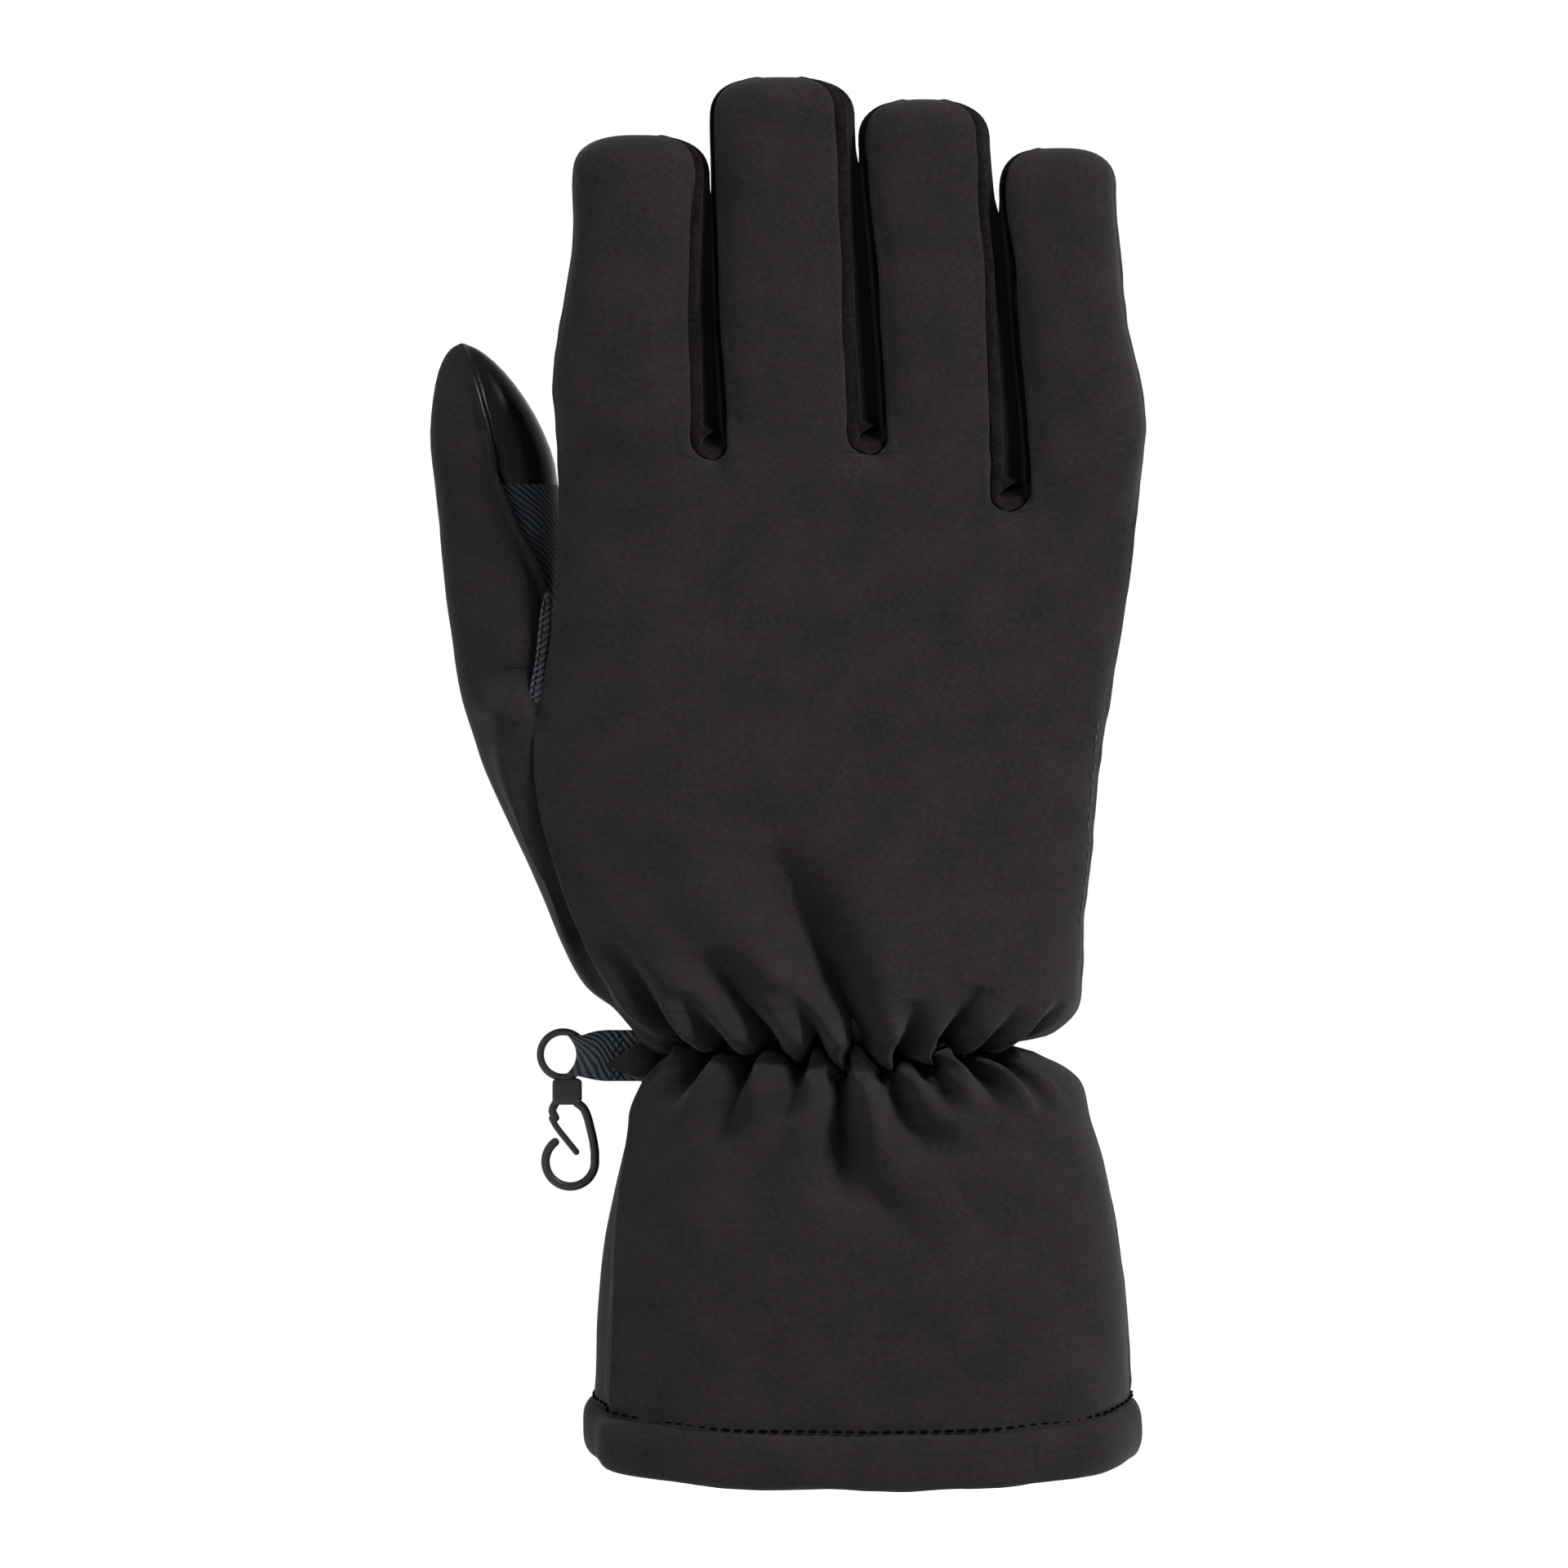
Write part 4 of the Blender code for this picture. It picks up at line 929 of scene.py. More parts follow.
def finger_pieces():
    """Each finger in two lengths, both with a back, a palm side and the walls that face the slots."""
    for number, digit in enumerate(FINGERS, start=1):
        name = digit.name
        hand_row, middle_row = finger_cut(number)
        made = []
        for side, panels, finish in (("back", BACK_PANELS, SOFTSHELL), ("palm", PALM_PANELS, TWILL)):
            panel = panels[number - 1]
            low = cut_piece(f"{name}_{side}_knuckle", [(panel, (hand_row, middle_row + 1))], finish)
            high = cut_piece(f"{name}_{side}_end", [(panel, (middle_row, len(panel.p)))], finish)
            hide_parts(f"{name}_near_{side}")
            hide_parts(f"{name}_tip_{side}")
            made.append((low, high))
        for word, on_right in slot_sides(number):
            panel, first = wall_panel(number, on_right)
            low = cut_piece(f"{name}_{word}_side_knuckle", [(panel, (0, middle_row - first + 1))], SIDES_PAINTED_SHADE)
            high = cut_piece(f"{name}_{word}_side_end", [(panel, (middle_row - first, len(panel.p)))], SIDES_PAINTED_SHADE)
            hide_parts(f"{name}_near_{word}_wall")
            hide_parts(f"{name}_tip_{word}_wall")
            made.append((low, high))
        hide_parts(f"{name}_lining")
        for low, high in made:
            blend_finger(low, high)


# --------------------------------------------------------------------------------------- thumb

THUMB_LOW = joined(THUMB_ROOT_ROWS[THUMB_ROOT_ROWS >= THUMB_CROTCH - 0.01], spaced(73.6, 90, 1.1))
THUMB_HIGH = spaced(90, THUMB.foot, 1.1)
THUMB_BACK_END = 40
THUMB_SHARES = joined(shares(THUMB_BACK_END + 1, 0.6) / 2, 0.5 + shares(THUMB_BACK_END, 0.6) / 2)
THUMB_SEAM = smooth((66, 48), (75, 50), (84, 53), (92, 59), (98, 72), (104, 83), (114, 90), (140, 90))
THUMB_START = smooth((8, 96), (40, 86), (58, 60), (66, 48), (67, 48))
THUMB_END = smooth((8, 268), (30, 285), (45, 315), (55, 348), (62, 382), (66, 408), (67, 408))


def thumb_grid():
    """The thumb and its root, from the hem up: round from the seam on the back to the line on the palm."""
    body = BODY_ROWS[BODY_ROWS < THUMB_CROTCH - 0.01]
    heights = np.concatenate([body, THUMB_LOW, THUMB_HIGH[1:]])
    u = THUMB_SHARES[None, :]
    z = heights[:, None]
    first = np.where(z > 66, THUMB_SEAM(z), THUMB_START(z))
    last = np.where(z > 66, THUMB_SEAM(z) + 360, THUMB_END(z))
    ring = THUMB.ring(mix(first, last, u), z)
    centre, half = outline_middle(z)

    def whole_phi(x):
        return np.degrees(np.arccos(power(np.clip((x - centre) / half, -1, 1), HAND_N / 2)))

    first, last = whole_phi(SEAM_X(z)), 360 - whole_phi(PALM_X(z))
    phi = np.radians(mix(first, last, u))
    x = centre + half * power(np.cos(phi), 2 / HAND_N)
    depth = np.where(np.sin(phi) > 0, BACK(z), PALM(z))
    y = -depth * power(np.sin(phi), 2 / HAND_N)
    flat = np.stack(np.broadcast_arrays(x, y, z), -1)
    points = mix(flat, ring, ease(8, 34, z)[..., None])
    inner = THUMB.ring(THUMB_SEAM(z), z)[:, 0]
    crotch = np.stack([SEAM_X(heights), SEAM_Y(heights), heights], -1)
    closing = ease(THUMB_CROTCH, THUMB_CROTCH + 9, heights)[:, None]
    meet = mix(crotch, inner, closing)
    return points, meet


def thumb_panel():
    points, meet = thumb_grid()
    count = int((BODY_ROWS < THUMB_CROTCH - 0.01).sum())
    start, end = meet.copy(), meet.copy()
    start[:count] = BACKS[0][:count, 0]
    end[:count] = PALMS[0][:count, 0]
    u = THUMB_SHARES[None, :, None]
    near_start = (1 - ease(0, 0.28, u))
    near_end = (1 - ease(0, 0.28, 1 - u))
    points = points + near_start * (start - points[:, 0])[:, None] + near_end * (end - points[:, -1])[:, None]
    top_seam = float(THUMB_SEAM(THUMB.foot))
    dome = THUMB.dome(mix(top_seam, top_seam + 360, THUMB_SHARES)[None, :], TURNS[:, None], 1.75)
    lean = np.clip((dome[..., 2] - THUMB.foot) / (THUMB.tip - THUMB.foot), 0, 1)
    dome[..., 0] -= 6.5 * lean**1.3
    points = np.concatenate([points, dome])
    z = points[..., 2]
    normals = grid_normals(points, True)
    left, right = row_arc(points)
    low = z < THUMB_CROTCH + 6
    fade = np.where(low, ease(0, 4.0, np.minimum(left, right)), 1.0)
    gather = np.where(z < 60, gathers(points), 0) * ease(0, 6, np.minimum(left, right))
    relief_out = wrinkles(points, 50) * fade + gather
    middle = left[:, THUMB_BACK_END][:, None]
    seam = np.minimum(np.minimum(left, right), np.abs(left - middle) + 99 * (z < THUMB_CROTCH + 4))
    relief_out = relief_out + seam_dent(seam, z, 60) * ease(THUMB_CROTCH, THUMB_CROTCH + 5, z)
    relief_out = relief_out - 5.5 * bump(left - 5.0, 5.0) * bump(z - 80, 17)
    calm = np.concatenate([np.ones(len(points) - len(TURNS)), np.cos(np.radians(TURNS))])[:, None]
    points = points + (relief_out * calm)[..., None] * normals
    points[:count, 0], points[:count, -1] = start[:count], end[:count]
    points[count:, 0] = points[count:, -1] = (points[count:, 0] + points[count:, -1]) / 2
    return points, count


THUMB_POINTS, THUMB_COUNT = thumb_panel()


def split_panel(panel, first, last, low_columns, high_columns):
    """Columns of a panel between two column numbers, as a panel of its own."""
    part = Panel.__new__(Panel)
    part.p = panel.p[first:last, low_columns:high_columns]
    part.n = panel.n[first:last, low_columns:high_columns]
    part.uv = panel.uv[first:last, low_columns:high_columns]
    part.outward = panel.outward
    return part


def build_thumb():
    """The thumb, with its root down to the hem, which is the side of the wrist and the cuff."""
    panel, count = Panel(THUMB_POINTS, True), THUMB_COUNT
    panel.n[count:, 0] = panel.n[count:, -1] = unit(panel.n[count:, 0] + panel.n[count:, -1])
    line = count + int((THUMB_LOW[1:] <= THUMB.line + 1e-6).sum())
    rows, total = panel.p.shape[:2]
    cuff = cut_piece("cuff_side", [(panel, (0, CUFF_ROW + 1))], SOFTSHELL)
    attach(cuff, "cuff")
    wrist = cut_piece("wrist_side", [(panel, (CUFF_ROW, WRIST_ROW + 1))], SOFTSHELL)
    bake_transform(wrist)
    root = cut_piece("thumb_base", [(panel, (WRIST_ROW, count + 1))], SOFTSHELL)
    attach(root, "hand")
    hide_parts("thumb_web")
    pad_row = line + int((THUMB_HIGH[1:] <= 112).sum())
    parts = [
        ("thumb_back_low", SOFTSHELL, count, line, 0, ["thumb_near_back"]),
        ("thumb_back_high", SOFTSHELL, line, rows - 1, 0, ["thumb_tip_back", "thumb_lining"]),
        ("thumb_inner_low", TWILL, count, line, 1, ["thumb_near_pad"]),
        ("thumb_inner_high", TWILL, line, pad_row, 1, []),
        ("thumb_pad", LEATHER, pad_row, rows - 1, 1, ["thumb_tip_pad"]),
    ]
    for name, finish, first, last, side, nodes in parts:
        # The start column is the seam seen from the back; the softshell runs from it round the outside.
        columns = (0, THUMB_BACK_END + 1) if side == 0 else (THUMB_BACK_END, total)
        piece = cut_piece(name, [(split_panel(panel, first, last + 1, *columns), None)], finish)
        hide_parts(*nodes)
        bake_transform(piece)


def thumb_binding():
    """The folded seam allowance that stands up in the thumb's crotch, with its stitches."""
    rings, places, directions = [], [], []
    for t in np.linspace(0, 1, 26):
        z = mix(62.5, 90.5, t)
        x = float(smooth((62, -60.9), (66, -60.6), (74, -59.6), (82, -58.6), (91, -57.9))(z))
        y = float(smooth((62, -2.6), (70, -1.0), (91, 1.6))(z))
        wide = 1.15 * math.sin(math.pi * min(1, max(0.02, 0.06 + 0.94 * t)) ** 0.8) ** 0.5 + 0.25
        wide *= 1 + 0.18 * math.sin(9 * t)
        angle = circle(20)
        left_right, front_back = wide * power(np.cos(angle), 0.7), 0.75 * power(np.sin(angle), 0.7)
        rings.append(np.stack([x + left_right, y + front_back, z + 0 * angle], -1))
        if 0.06 < t < 0.94:
            places.append(np.array([x - 0.35 * wide, y - 0.78, z]))
            directions.append(np.array([0.25, 0, 1.0]))
    strip = closed_grid("thumb_binding", rings, WEBBING, inside=True)
    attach(strip, "hand")
    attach(stitch_mesh("thumb_binding_stitches", places, directions, 0.8, 0.16), "hand")


# ------------------------------------------------------------------------------ hand, wrist, cuff


def body_pieces():
    """The cuff, the wrist and the hand, each with a back and a palm side."""
    top = len(BODY_ROWS) - 1
    for side, panels, finish in (("back", BACK_PANELS, SOFTSHELL), ("palm", PALM_PANELS, TWILL)):
        cuff = cut_piece(f"cuff_{side}", [(p, (0, CUFF_ROW + 1)) for p in panels], SOFTSHELL)
        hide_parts(f"cuff_{side}_panel")
        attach(cuff, "cuff")
        wrist = cut_piece(f"wrist_{side}", [(p, (CUFF_ROW, WRIST_ROW + 1)) for p in panels], SOFTSHELL)
        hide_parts(f"wrist_gather_{side}")
        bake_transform(wrist)
        hand = cut_piece(f"hand_{side}", [(p, (WRIST_ROW, top + 1)) for p in panels], finish)
        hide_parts(f"hand_{side}_panel")
        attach(hand, "hand")
        if side == "back":
            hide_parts("back_padding", "index_middle_web", "middle_ring_web", "ring_little_web")


def ring_points(z, inset):
    """Points round the cuff's outline at height z, moved in by inset."""
    angle = circle(120)
    centre, half = outline_middle(z)
    depth = np.where(np.sin(angle) > 0, BACK(z), PALM(z))
    x = centre + (half - inset) * power(np.cos(angle), 2 / HAND_N)
    y = -(depth - inset) * power(np.sin(angle), 2 / HAND_N)
    return np.stack(np.broadcast_arrays(x, y, z), -1)


def closed_grid(name, rings, finish, inside=False, loop=False):
    """A tube through rings of points. inside turns it over, loop joins the last ring to the first."""
    rings = np.asarray(rings)
    if loop:
        rings = np.concatenate([rings, rings[:1]])
    rings = np.concatenate([rings, rings[:, :1]], axis=1)
    panel = Panel(rings, not inside)
    panel.n[:, 0] = panel.n[:, -1] = unit(panel.n[:, 0] + panel.n[:, -1])
    return cut_piece(name, [(panel, None)], finish)


CLOTH_FRAMES = 20


def swell(piece, held, pressure, most):
    """Lets a padded piece swell by cloth simulation, by at most so many millimetres.

    held says which points the seams hold.
    """
    mesh = piece.data
    soft = bmesh.new()
    soft.from_mesh(mesh)
    bmesh.ops.remove_doubles(soft, verts=soft.verts, dist=0.00005)
    soft.to_mesh(mesh)
    soft.free()
    start = np.zeros(3 * len(mesh.vertices))
    mesh.vertices.foreach_get("co", start)
    start = start.reshape(-1, 3)
    seams = piece.vertex_groups.new(name="seams")
    seams.add(np.nonzero(held(start / MM))[0].tolist(), 1.0, "REPLACE")
    cloth = piece.modifiers.new("cloth", "CLOTH")
    cloth.settings.use_pressure = True
    cloth.settings.uniform_pressure_force = pressure
    cloth.settings.vertex_group_mass = "seams"
    cloth.settings.effector_weights.gravity = 0
    cloth.collision_settings.use_collision = False
    cloth.point_cache.frame_end = CLOTH_FRAMES
    scene = bpy.context.scene
    for frame_number in range(1, CLOTH_FRAMES + 1):
        scene.frame_set(frame_number)
    swollen = piece.evaluated_get(bpy.context.evaluated_depsgraph_get()).data
    end = np.zeros(3 * len(mesh.vertices))
    swollen.vertices.foreach_get("co", end)
    move = end.reshape(-1, 3) - start
    length = np.linalg.norm(move, axis=1, keepdims=True)
    start = start + move * np.minimum(1, most * MM / np.maximum(length, 1e-12))
    piece.modifiers.remove(cloth)
    piece.vertex_groups.clear()
    scene.frame_set(1)
    mesh.vertices.foreach_set("co", start.ravel())
    mesh.update()
    smooth_normals = np.zeros(3 * len(mesh.vertices))
    mesh.vertex_normals.foreach_get("vector", smooth_normals)
    mesh.normals_split_custom_set_from_vertices(smooth_normals.reshape(-1, 3).tolist())


def cuff_outline(row, count):
    """Evenly spaced points round the cuff at one of its rows, as it was sewn."""
    parts = [p[row] for p in BACKS] + [p[row, ::-1] for p in PALMS[::-1]] + [THUMB_POINTS[row, ::-1]]
    loop = np.concatenate(parts)
    loop = np.concatenate([loop, loop[:1]])
    step = np.linalg.norm(np.diff(loop, axis=0), axis=1)
    keep = np.concatenate([[True], step > 1e-6])
    loop = loop[keep]
    arc = np.concatenate([[0], np.cumsum(np.linalg.norm(np.diff(loop, axis=0), axis=1))])
    places = np.linspace(0, arc[-1], count, endpoint=False)
    return np.stack([np.interp(places, arc, loop[:, k]) for k in range(3)], -1), arc[-1]


def outward_of(loop):
    """Level directions out of a closed line of points."""
    ahead = np.roll(loop, -1, 0) - np.roll(loop, 1, 0)
    side = unit(np.stack([ahead[:, 1], -ahead[:, 0], 0 * ahead[:, 0]], -1))
    away = loop - loop.mean(axis=0)
    return side * np.sign((side * away).sum(axis=-1).mean())


def hem():
    """The turned hem: a soft roll that is pinched at the stitched line."""
    profile = []
    for degrees in np.linspace(90, 450, 33)[:-1]:
        c, s = math.cos(math.radians(degrees)), math.sin(math.radians(degrees))
        out = float(power(c, 0.78)) * 2.9 - 0.5 * (s > 0) * s**3
        profile.append((out, float(power(s, 0.85)) * 5.6 - 5.0))
    outline, _ = cuff_outline(3, 260)
    for _ in range(6):
        outline = (np.roll(outline, 1, 0) + 2 * outline + np.roll(outline, -1, 0)) / 4
    out_way = outward_of(outline)
    rings = []
    for out, down in profile:
        ring = outline + out_way * (out - 0.7)
        ring[:, 2] = mouth_height(outline) + down
        rings.append(ring)
    rings = np.array(rings)
    lump = noise(rings, 11, 70) * 0.35 + noise(rings, 4, 71) * 0.12
    rings = rings + unit(rings - rings.mean(axis=0, keepdims=True)) * lump[..., None]
    piece = closed_grid("hem", rings, SOFTSHELL, loop=True)
    swell(piece, lambda points: points[:, 2] > mouth_height(points) - 0.8, 25, 0.6)
    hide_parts("hem_band")
    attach(piece, "cuff")


def round_rings(centres, side, other, radii, count):
    """A ring of points round each centre, in the plane of two directions."""
    angle = circle(count)[:, None]
    ring = np.cos(angle) * side[:, None] + np.sin(angle) * other[:, None]
    return centres[:, None] + ring * radii[:, None, None]


def rope(name, centres, radius, finish, across=(0, 1.0, 0)):
    """A thin round line of sewing through these centres, tapered at its ends."""
    centres = np.array(centres, float)
    ahead = unit(np.gradient(centres, axis=0))
    side = unit(np.cross(ahead, across))
    thick = np.full(len(centres), radius)
    thick[[0, -1]] = 0.05
    rings = round_rings(centres, side, np.cross(side, ahead), thick, 8)
    return closed_grid(name, rings, finish, inside=True)


def slot_seams():
    """The dark seam line along each side of the slots between the fingers."""
    for number, digit in enumerate(FINGERS, start=1):
        name = digit.name
        _, middle_row = finger_cut(number)
        for word, on_right in slot_sides(number):
            _, first = slot_foot(number, on_right)
            edge = BACKS[number - 1][:, -1 if on_right else 0]
            low = rope(f"{name}_{word}_seam_knuckle", edge[first : middle_row + 1], 0.3, THREAD)
            high = rope(f"{name}_{word}_seam_end", edge[middle_row : len(edge) - 3], 0.3, THREAD)
            blend_finger(low, high)


def crease_seams_and_shade():
    """The elastic's stitching at the bottom of the crease round the wrist: a near-black cord that is partly
    that stitching and partly painted shade, darkening the crease.
    """
    for side, strips in (("back", BACKS), ("palm", PALMS)):
        line = []
        for strip in strips:
            for column in range(0, strip.shape[1] - 1):
                points = strip[:, column]
                points = points[(points[:, 2] > -9) & (points[:, 2] < 9)]
                away = points[:, 2] - crease_height(around(points[:, 0], points[:, 1], points[:, 2]))
                k = int(np.argmax(away > 0))
                if k == 0:
                    continue
                share = -away[k - 1] / (away[k] - away[k - 1])
                line.append(mix(points[k - 1], points[k], share))
        # Painted shade: the dark cord follows the very bottom of the crease and makes it darker than its
        # depth alone would shade it.
        seam = rope(f"wrist_{side}_elastic_seam", line, 0.42, THREAD, (0, 0, 1.0))
        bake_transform(seam)


def side_stitches():
    """Topstitching that shows along the little finger's side of the hand."""
    places, directions = [], []
    panel = BACK_PANELS[3]
    _, right = row_arc(panel.p)
    for z in np.arange(26, 66, 2.5):
        row = int(np.searchsorted(BODY_ROWS, z))
        column = int(np.argmin(np.abs(right[row] - 6.5)))
        places.append(panel.p[row, column] + 0.15 * panel.n[row, column])
        directions.append(panel.p[row + 1, column] - panel.p[row - 1, column])
    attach(stitch_mesh("hand_side_stitches", places, directions, 1.7, 0.26, GREY_THREAD), "hand")


# The palm patch: its middle, half its width and height, and how square its corners are.
PATCH_X, PATCH_Z, PATCH_WIDE, PATCH_TALL, PATCH_SQUARE = 3.0, 62.0, 25.0, 30.0, 0.7


def palm_patch():
    """The reinforcing patch on the palm: soft leather over a thin pad, stitched round its edge."""
    angle = circle(96)
    places, directions, rings = [], [], []

    def on_palm(share, height):
        x = PATCH_X + PATCH_WIDE * share * power(np.cos(angle), PATCH_SQUARE)
        z = PATCH_Z + PATCH_TALL * share * power(np.sin(angle), PATCH_SQUARE)
        points = section_point(1, phi_of(1, x, z), z)
        points[..., 1] += wrinkles(points, 7) + height
        return points

    def at_patch_rim(points):
        across = np.abs(points[:, 0] - PATCH_X) / PATCH_WIDE
        up = np.abs(points[:, 2] - PATCH_Z) / PATCH_TALL
        return (across ** (2 / PATCH_SQUARE) + up ** (2 / PATCH_SQUARE)) ** 0.35 > 0.88

    for share in (1.0, 0.995, 0.98, 0.96, 0.94, 0.92, 0.9, 0.86, 0.8, 0.7, 0.58, 0.44, 0.3, 0.15, 0.001):
        raised = 1.5 * (1 - share**9) ** 0.6 - 0.45 * bump(share - 0.93, 0.035)
        rings.append(on_palm(share, -0.6 if share == 1.0 else 0.25 + raised))
    seam = on_palm(0.93, 0.95)
    for k, place in enumerate(seam):
        places.append(place)
        directions.append(seam[(k + 1) % len(seam)] - seam[k - 1])
    patch = closed_grid("palm_leather_patch", rings, LEATHER, inside=True)
    swell(patch, at_patch_rim, 40, 1.2)
    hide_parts("palm_patch")
    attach(patch, "hand")
    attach(stitch_mesh("palm_patch_stitches", places, directions, 1.3, 0.2), "hand")


def stitch_mesh(name, places, directions, length, radius, finish=None):
    """Many short stitches as one piece: each a small capsule along its direction."""
    verts, faces = [], []
    sides, rings = 6, [(-0.5, 0.35), (-0.38, 0.85), (0, 1.0), (0.38, 0.85), (0.5, 0.35)]
    for place, along in zip(places, directions):
        along = along / np.linalg.norm(along)
        side = np.cross(along, [0.1, 0.2, 1.0])
        side /= np.linalg.norm(side)
        up = np.cross(side, along)
        base = len(verts)
        for step, wide in rings:
            for k in range(sides):
                a = 2 * math.pi * k / sides
                out = (side * math.cos(a) + up * math.sin(a)) * radius * wide
                verts.append(place + along * step * length + out)
        for row in range(base, base + (len(rings) - 1) * sides, sides):
            for k in range(sides):
                n = (k + 1) % sides
                faces.append([row + k, row + n, row + sides + n, row + sides + k])
        faces.append([base + k for k in range(sides)][::-1])
        faces.append([base + (len(rings) - 1) * sides + k for k in range(sides)])
    return mesh_piece(name, np.array(verts), faces, finish or THREAD)


def hem_stitches():
    """The line of stitches through the turned hem."""
    outline, total = cuff_outline(3, 2400)
    out_way = outward_of(outline)
    outline[:, 2] = mouth_height(outline) + 1.1
    places, directions = [], []
    pitch = 2.4
    count = int(total / pitch)
    for n in range(count):
        k = int(n * len(outline) / count)
        places.append(outline[k] - out_way[k] * 0.1)
        directions.append(outline[(k + 8) % len(outline)] - outline[k])
    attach(stitch_mesh("hem_stitches", places, directions, 1.7, 0.3), "cuff")


def linings():
    """The fleece inside the cuff, the wrist and the hand."""
    rings = []
    for z in np.linspace(HEM_LINE + 1, WRIST_END, 20):
        ring = ring_points(z, 3.0 + 10.0 * float(ease(-45, -15, z)))
        rings.append(ring)
        drop = (mouth_height(ring) - HEM_LINE) * ease(WRIST_END, HEM_LINE, np.array(z))
        ring[:, 2] += drop * (1 if z < -40 else 0)
    cuff = closed_grid("cuff_fleece", rings, FLEECE, inside=True)
    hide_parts("cuff_lining")
    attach(cuff, "cuff")
    rings = [ring_points(z, 13.0) for z in np.linspace(WRIST_END, WRIST_TOP, 16)]
    wrist = closed_grid("wrist_fleece", rings, FLEECE, inside=True)
    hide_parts("wrist_elastic")
    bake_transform(wrist)
    rings = []
    for z in np.linspace(WRIST_TOP, 96, 24):
        ring = ring_points(z, 5.5 + 7.5 * (1 - float(ease(WRIST_TOP, 48, z))))
        ring[:, 0] = np.maximum(ring[:, 0], SEAM_X(z) + 5)
        rings.append(ring)
    rings.append(mix(rings[-1], rings[-1].mean(axis=0), 0.98) + np.array([0, 0, 3.0]))
    hand = closed_grid("hand_fleece", rings, FLEECE, inside=True)
    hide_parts("hand_lining")
    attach(hand, "hand")


# ---------------------------------------------------------------------------------- strap and hook

EYE_X, EYE_Z, EYE_R = -54.8, -0.2, 4.45


def webbing():
    """The webbing, sewn into the side seam, folded round the hook's eye and back on itself."""
    across = np.linspace(-1, 1, 15)
    centre, side = [], []
    fold = EYE_X + EYE_R
    sewn_in = -38.5
    runs = [(-1, np.linspace(sewn_in, fold + 1.6, 12)), (1, np.linspace(fold + 1.6, sewn_in, 12))]

    def ring_side(z):
        """x of the eye's side that the webbing lies against."""
        return EYE_X + np.sqrt(np.maximum(EYE_R**2 - (z - EYE_Z) ** 2, 1.0))

    for front, places in runs:
        for x in places:
            pinch = ease(fold + 4.5, fold + 0.8, x) if x < fold + 4.5 else 0.0
            half = mix(5.0, 3.9, pinch)
            z = -0.4 + across * half
            x_here = x + (ring_side(z) - fold) * ease(fold + 5.5, fold + 0.8, x) + 0 * z
            y = front * mix(0.62, 1.45, ease(fold + 6.5, fold + 1.6, x)) + 0 * z
            centre.append(np.stack([x_here, y, z], -1))
            side.append(np.stack([0 * z, front + 0 * z, 0 * z], -1))
        if front == -1:
            z = -0.4 + across * 3.9
            ring_x = ring_side(z)
            for degrees in np.linspace(20, 160, 9):
                c, s = math.cos(math.radians(degrees)), math.sin(math.radians(degrees))
                centre.append(np.stack([ring_x - 1.45 * s + 1.0 * (1 - s), -1.45 * c + 0 * z, z], -1))
                side.append(np.stack([-s + 0 * z, -c + 0 * z, 0 * z], -1))
    centre, side = np.array(centre), np.array(side)
    edge = 0.45 * np.sqrt(np.clip(1 - np.abs(across) ** 8, 0.03, 1))[None, :, None]
    rings = np.concatenate([centre + side * edge, (centre - side * edge)[:, ::-1]], axis=1)
    piece = closed_grid("webbing", rings, WEBBING)
    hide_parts("strap")
    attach(piece, "strap")
    places, directions = [], []
    for z in np.arange(-4.6, 4.3, 1.0):
        for x in (-43.6, -45.0):
            places.append(np.array([x + 0.3 * math.sin(z * 3), -1.1, z]))
            directions.append(np.array([0.25, 0, 1.0]))
    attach(stitch_mesh("webbing_stitches", places, directions, 0.75, 0.16), "strap")


def tube(name, centres, radii, finish, flatten=1.0, loop=False):
    """A bar through these centres, which lie in the plane of the hook."""
    centres, radii = np.array(centres, float), np.array(radii, float)
    ahead = np.roll(centres, -1, 0) - np.roll(centres, 1, 0)
    if not loop:
        ahead[0], ahead[-1] = centres[1] - centres[0], centres[-1] - centres[-2]
    side = np.cross(unit(ahead), [0, 1.0, 0])
    rings = round_rings(centres, side, np.array([[0, flatten, 0]]), radii, 18)
    return closed_grid(name, rings, finish, inside=True, loop=loop)


def rounded_ends(centres, radius, steps=5):
    """Radii and extra centres that close a bar with round ends."""
    centres = [np.array(c, float) for c in centres]
    first, last = centres[0] - centres[1], centres[-1] - centres[-2]
    first /= np.linalg.norm(first)
    last /= np.linalg.norm(last)
    turns = np.radians(np.linspace(88, 0, steps))[:-1]
    start = [centres[0] + first * radius * math.sin(t) for t in turns]
    end = [centres[-1] + last * radius * math.sin(t) for t in turns[::-1]]
    taper = [radius * math.cos(t) for t in turns]
    return start + centres + end, taper + [radius] * len(centres) + taper[::-1]


def bow(cx, cz, radius, first, last, count):
    """Points on an arc between two angles, in degrees."""
    return [(cx + radius * math.cos(math.radians(a)), 0, cz + radius * math.sin(math.radians(a)))
            for a in np.linspace(first, last, count)]


def curve_through(points, count):
    """Evenly spaced points on a smooth line through these (x, z) points."""
    points = np.array(points, float)
    step = np.concatenate([[0], np.cumsum(np.linalg.norm(np.diff(points, axis=0), axis=1))])
    fx, fz = smooth(*zip(step, points[:, 0])), smooth(*zip(step, points[:, 1]))
    t = np.linspace(0, step[-1], count)
    return [(float(fx(k)), 0, float(fz(k))) for k in t]


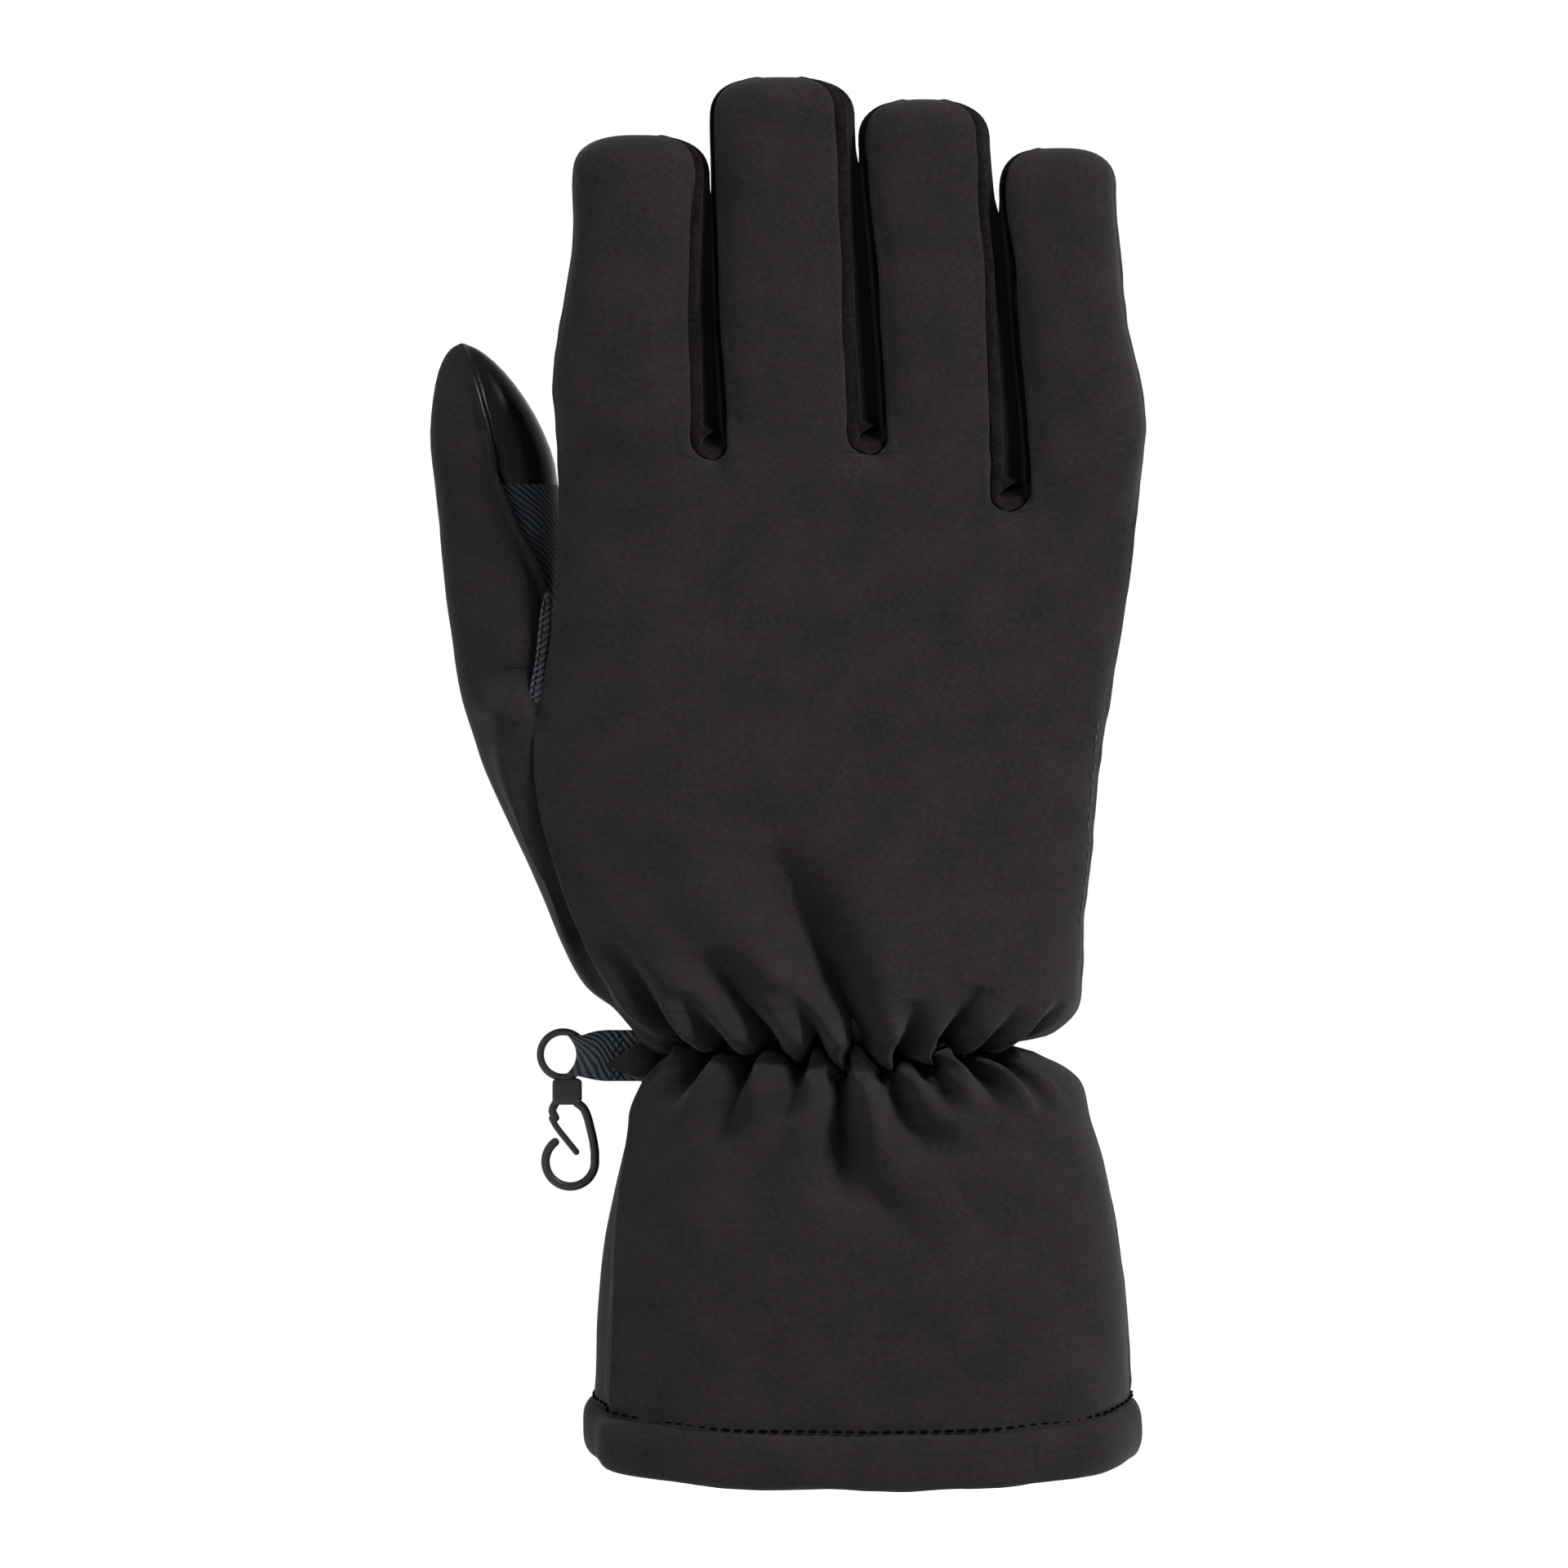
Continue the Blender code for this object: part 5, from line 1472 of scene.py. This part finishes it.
def hook_pieces():
    """The hook: an eye for the webbing, a plate, the bent bar and the tongue that closes it."""
    eye = tube("hook_eye", bow(EYE_X, EYE_Z, EYE_R, 0, 352.5, 48), [0.72] * 48, PLASTIC, 1.1, loop=True)
    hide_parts("hook")
    plate_rows = []
    for z, half, depth in (
        (-4.75, 1.6, 0.6), (-5.0, 2.4, 0.9), (-5.4, 2.85, 1.0), (-6.0, 2.9, 1.05), (-8.9, 2.9, 1.05),
        (-9.6, 2.7, 1.0), (-9.95, 2.2, 0.9), (-10.05, 1.2, 0.5),
    ):
        angle = circle(32)
        x = -54.0 + half * power(np.cos(angle), 0.35)
        y = -depth * power(np.sin(angle), 0.35)
        plate_rows.append(np.stack([x, y, z + 0 * x], -1))
    plate = closed_grid("hook_plate", plate_rows, PLASTIC)
    path = curve_through([(-56.2, -9.6), (-56.9, -11.2), (-56.3, -12.6)], 8)
    tongue_root, radii = rounded_ends(path, 0.8)
    knob = tube("hook_shoulder", tongue_root, radii, PLASTIC)
    arm = [(-52.2, -9.6), (-50.9, -10.6), (-50.1, -12.2), (-49.5, -14.4), (-48.9, -17.0), (-48.55, -19.4)]
    arm = curve_through(arm, 18)
    bend = bow(-53.4, -21.2, 4.85, 6, -232, 40)
    centres, radii = rounded_ends(arm + bend, 0.86)
    bar = tube("hook_bar", centres, radii, PLASTIC, 1.05)
    for piece in (eye, plate, knob, bar):
        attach(piece, "hook")
    path = curve_through([(-57.0, -12.7), (-56.2, -14.2), (-54.2, -16.8), (-52.2, -19.3)], 18)
    centres, radii = rounded_ends(path, 0.62)
    spring = tube("hook_tongue", centres, radii, PLASTIC)
    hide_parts("gate")
    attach(spring, "gate")


# ------------------------------------------------------------------------------- studio and camera


def stage_and_camera():
    """A pale floor, a white studio with a key and a fill lamp, and the camera."""
    scene = bpy.context.scene
    floor_mesh = bpy.data.meshes.new("floor")
    size, low = 0.8, -0.13
    corners = [(-size, -size, low), (size, -size, low), (size, size, low), (-size, size, low)]
    floor_mesh.from_pydata(corners, [], [(0, 1, 2, 3)])
    floor = bpy.data.objects.new("floor", floor_mesh)
    scene.collection.objects.link(floor)
    pale = Finish("pale_floor")
    pale.put(pale.shader, {"Base Color": (0.9, 0.9, 0.9, 1), "Roughness": 0.9})
    floor_mesh.materials.append(pale.made)
    world = bpy.data.worlds.new("studio")
    scene.world = world
    world.use_nodes = True
    background = world.node_tree.nodes["Background"]
    background.inputs["Color"].default_value = (1, 1, 1, 1)
    background.inputs["Strength"].default_value = 1.0
    scene.view_settings.view_transform = "Standard"

    def area(name, place, target, width, power_w):
        lamp = bpy.data.lights.new(name, "AREA")
        lamp.shape = "RECTANGLE"
        lamp.size, lamp.size_y = width
        lamp.energy = power_w
        obj = bpy.data.objects.new(name, lamp)
        obj.location = place
        obj.rotation_euler = (Vector(target) - Vector(place)).to_track_quat("-Z", "Y").to_euler()
        scene.collection.objects.link(obj)

    area("key", (0.85, -0.85, 1.3), (0, 0, 0.05), (0.45, 0.45), 88)
    area("fill", (-1.2, -1.1, 0.2), (0, 0, 0.05), (0.8, 1.2), 12)
    lens = bpy.data.cameras.new("camera")
    sensor, distance, seen_width = 36, 2.4, 0.3072
    lens.sensor_width = sensor
    lens.lens = sensor * distance / seen_width
    camera = bpy.data.objects.new("camera", lens)
    camera.location = (-0.01152, -distance, 0.0528)
    camera.rotation_euler = (math.radians(90), 0, 0)
    lens.clip_end = 50
    scene.collection.objects.link(camera)
    scene.camera = camera


finger_pieces()
build_thumb()
thumb_binding()
body_pieces()
hem()
hem_stitches()
slot_seams()
crease_seams_and_shade()
side_stitches()
palm_patch()
linings()
webbing()
hook_pieces()
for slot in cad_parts["care_label"].material_slots:
    slot.material = LABEL
stage_and_camera()
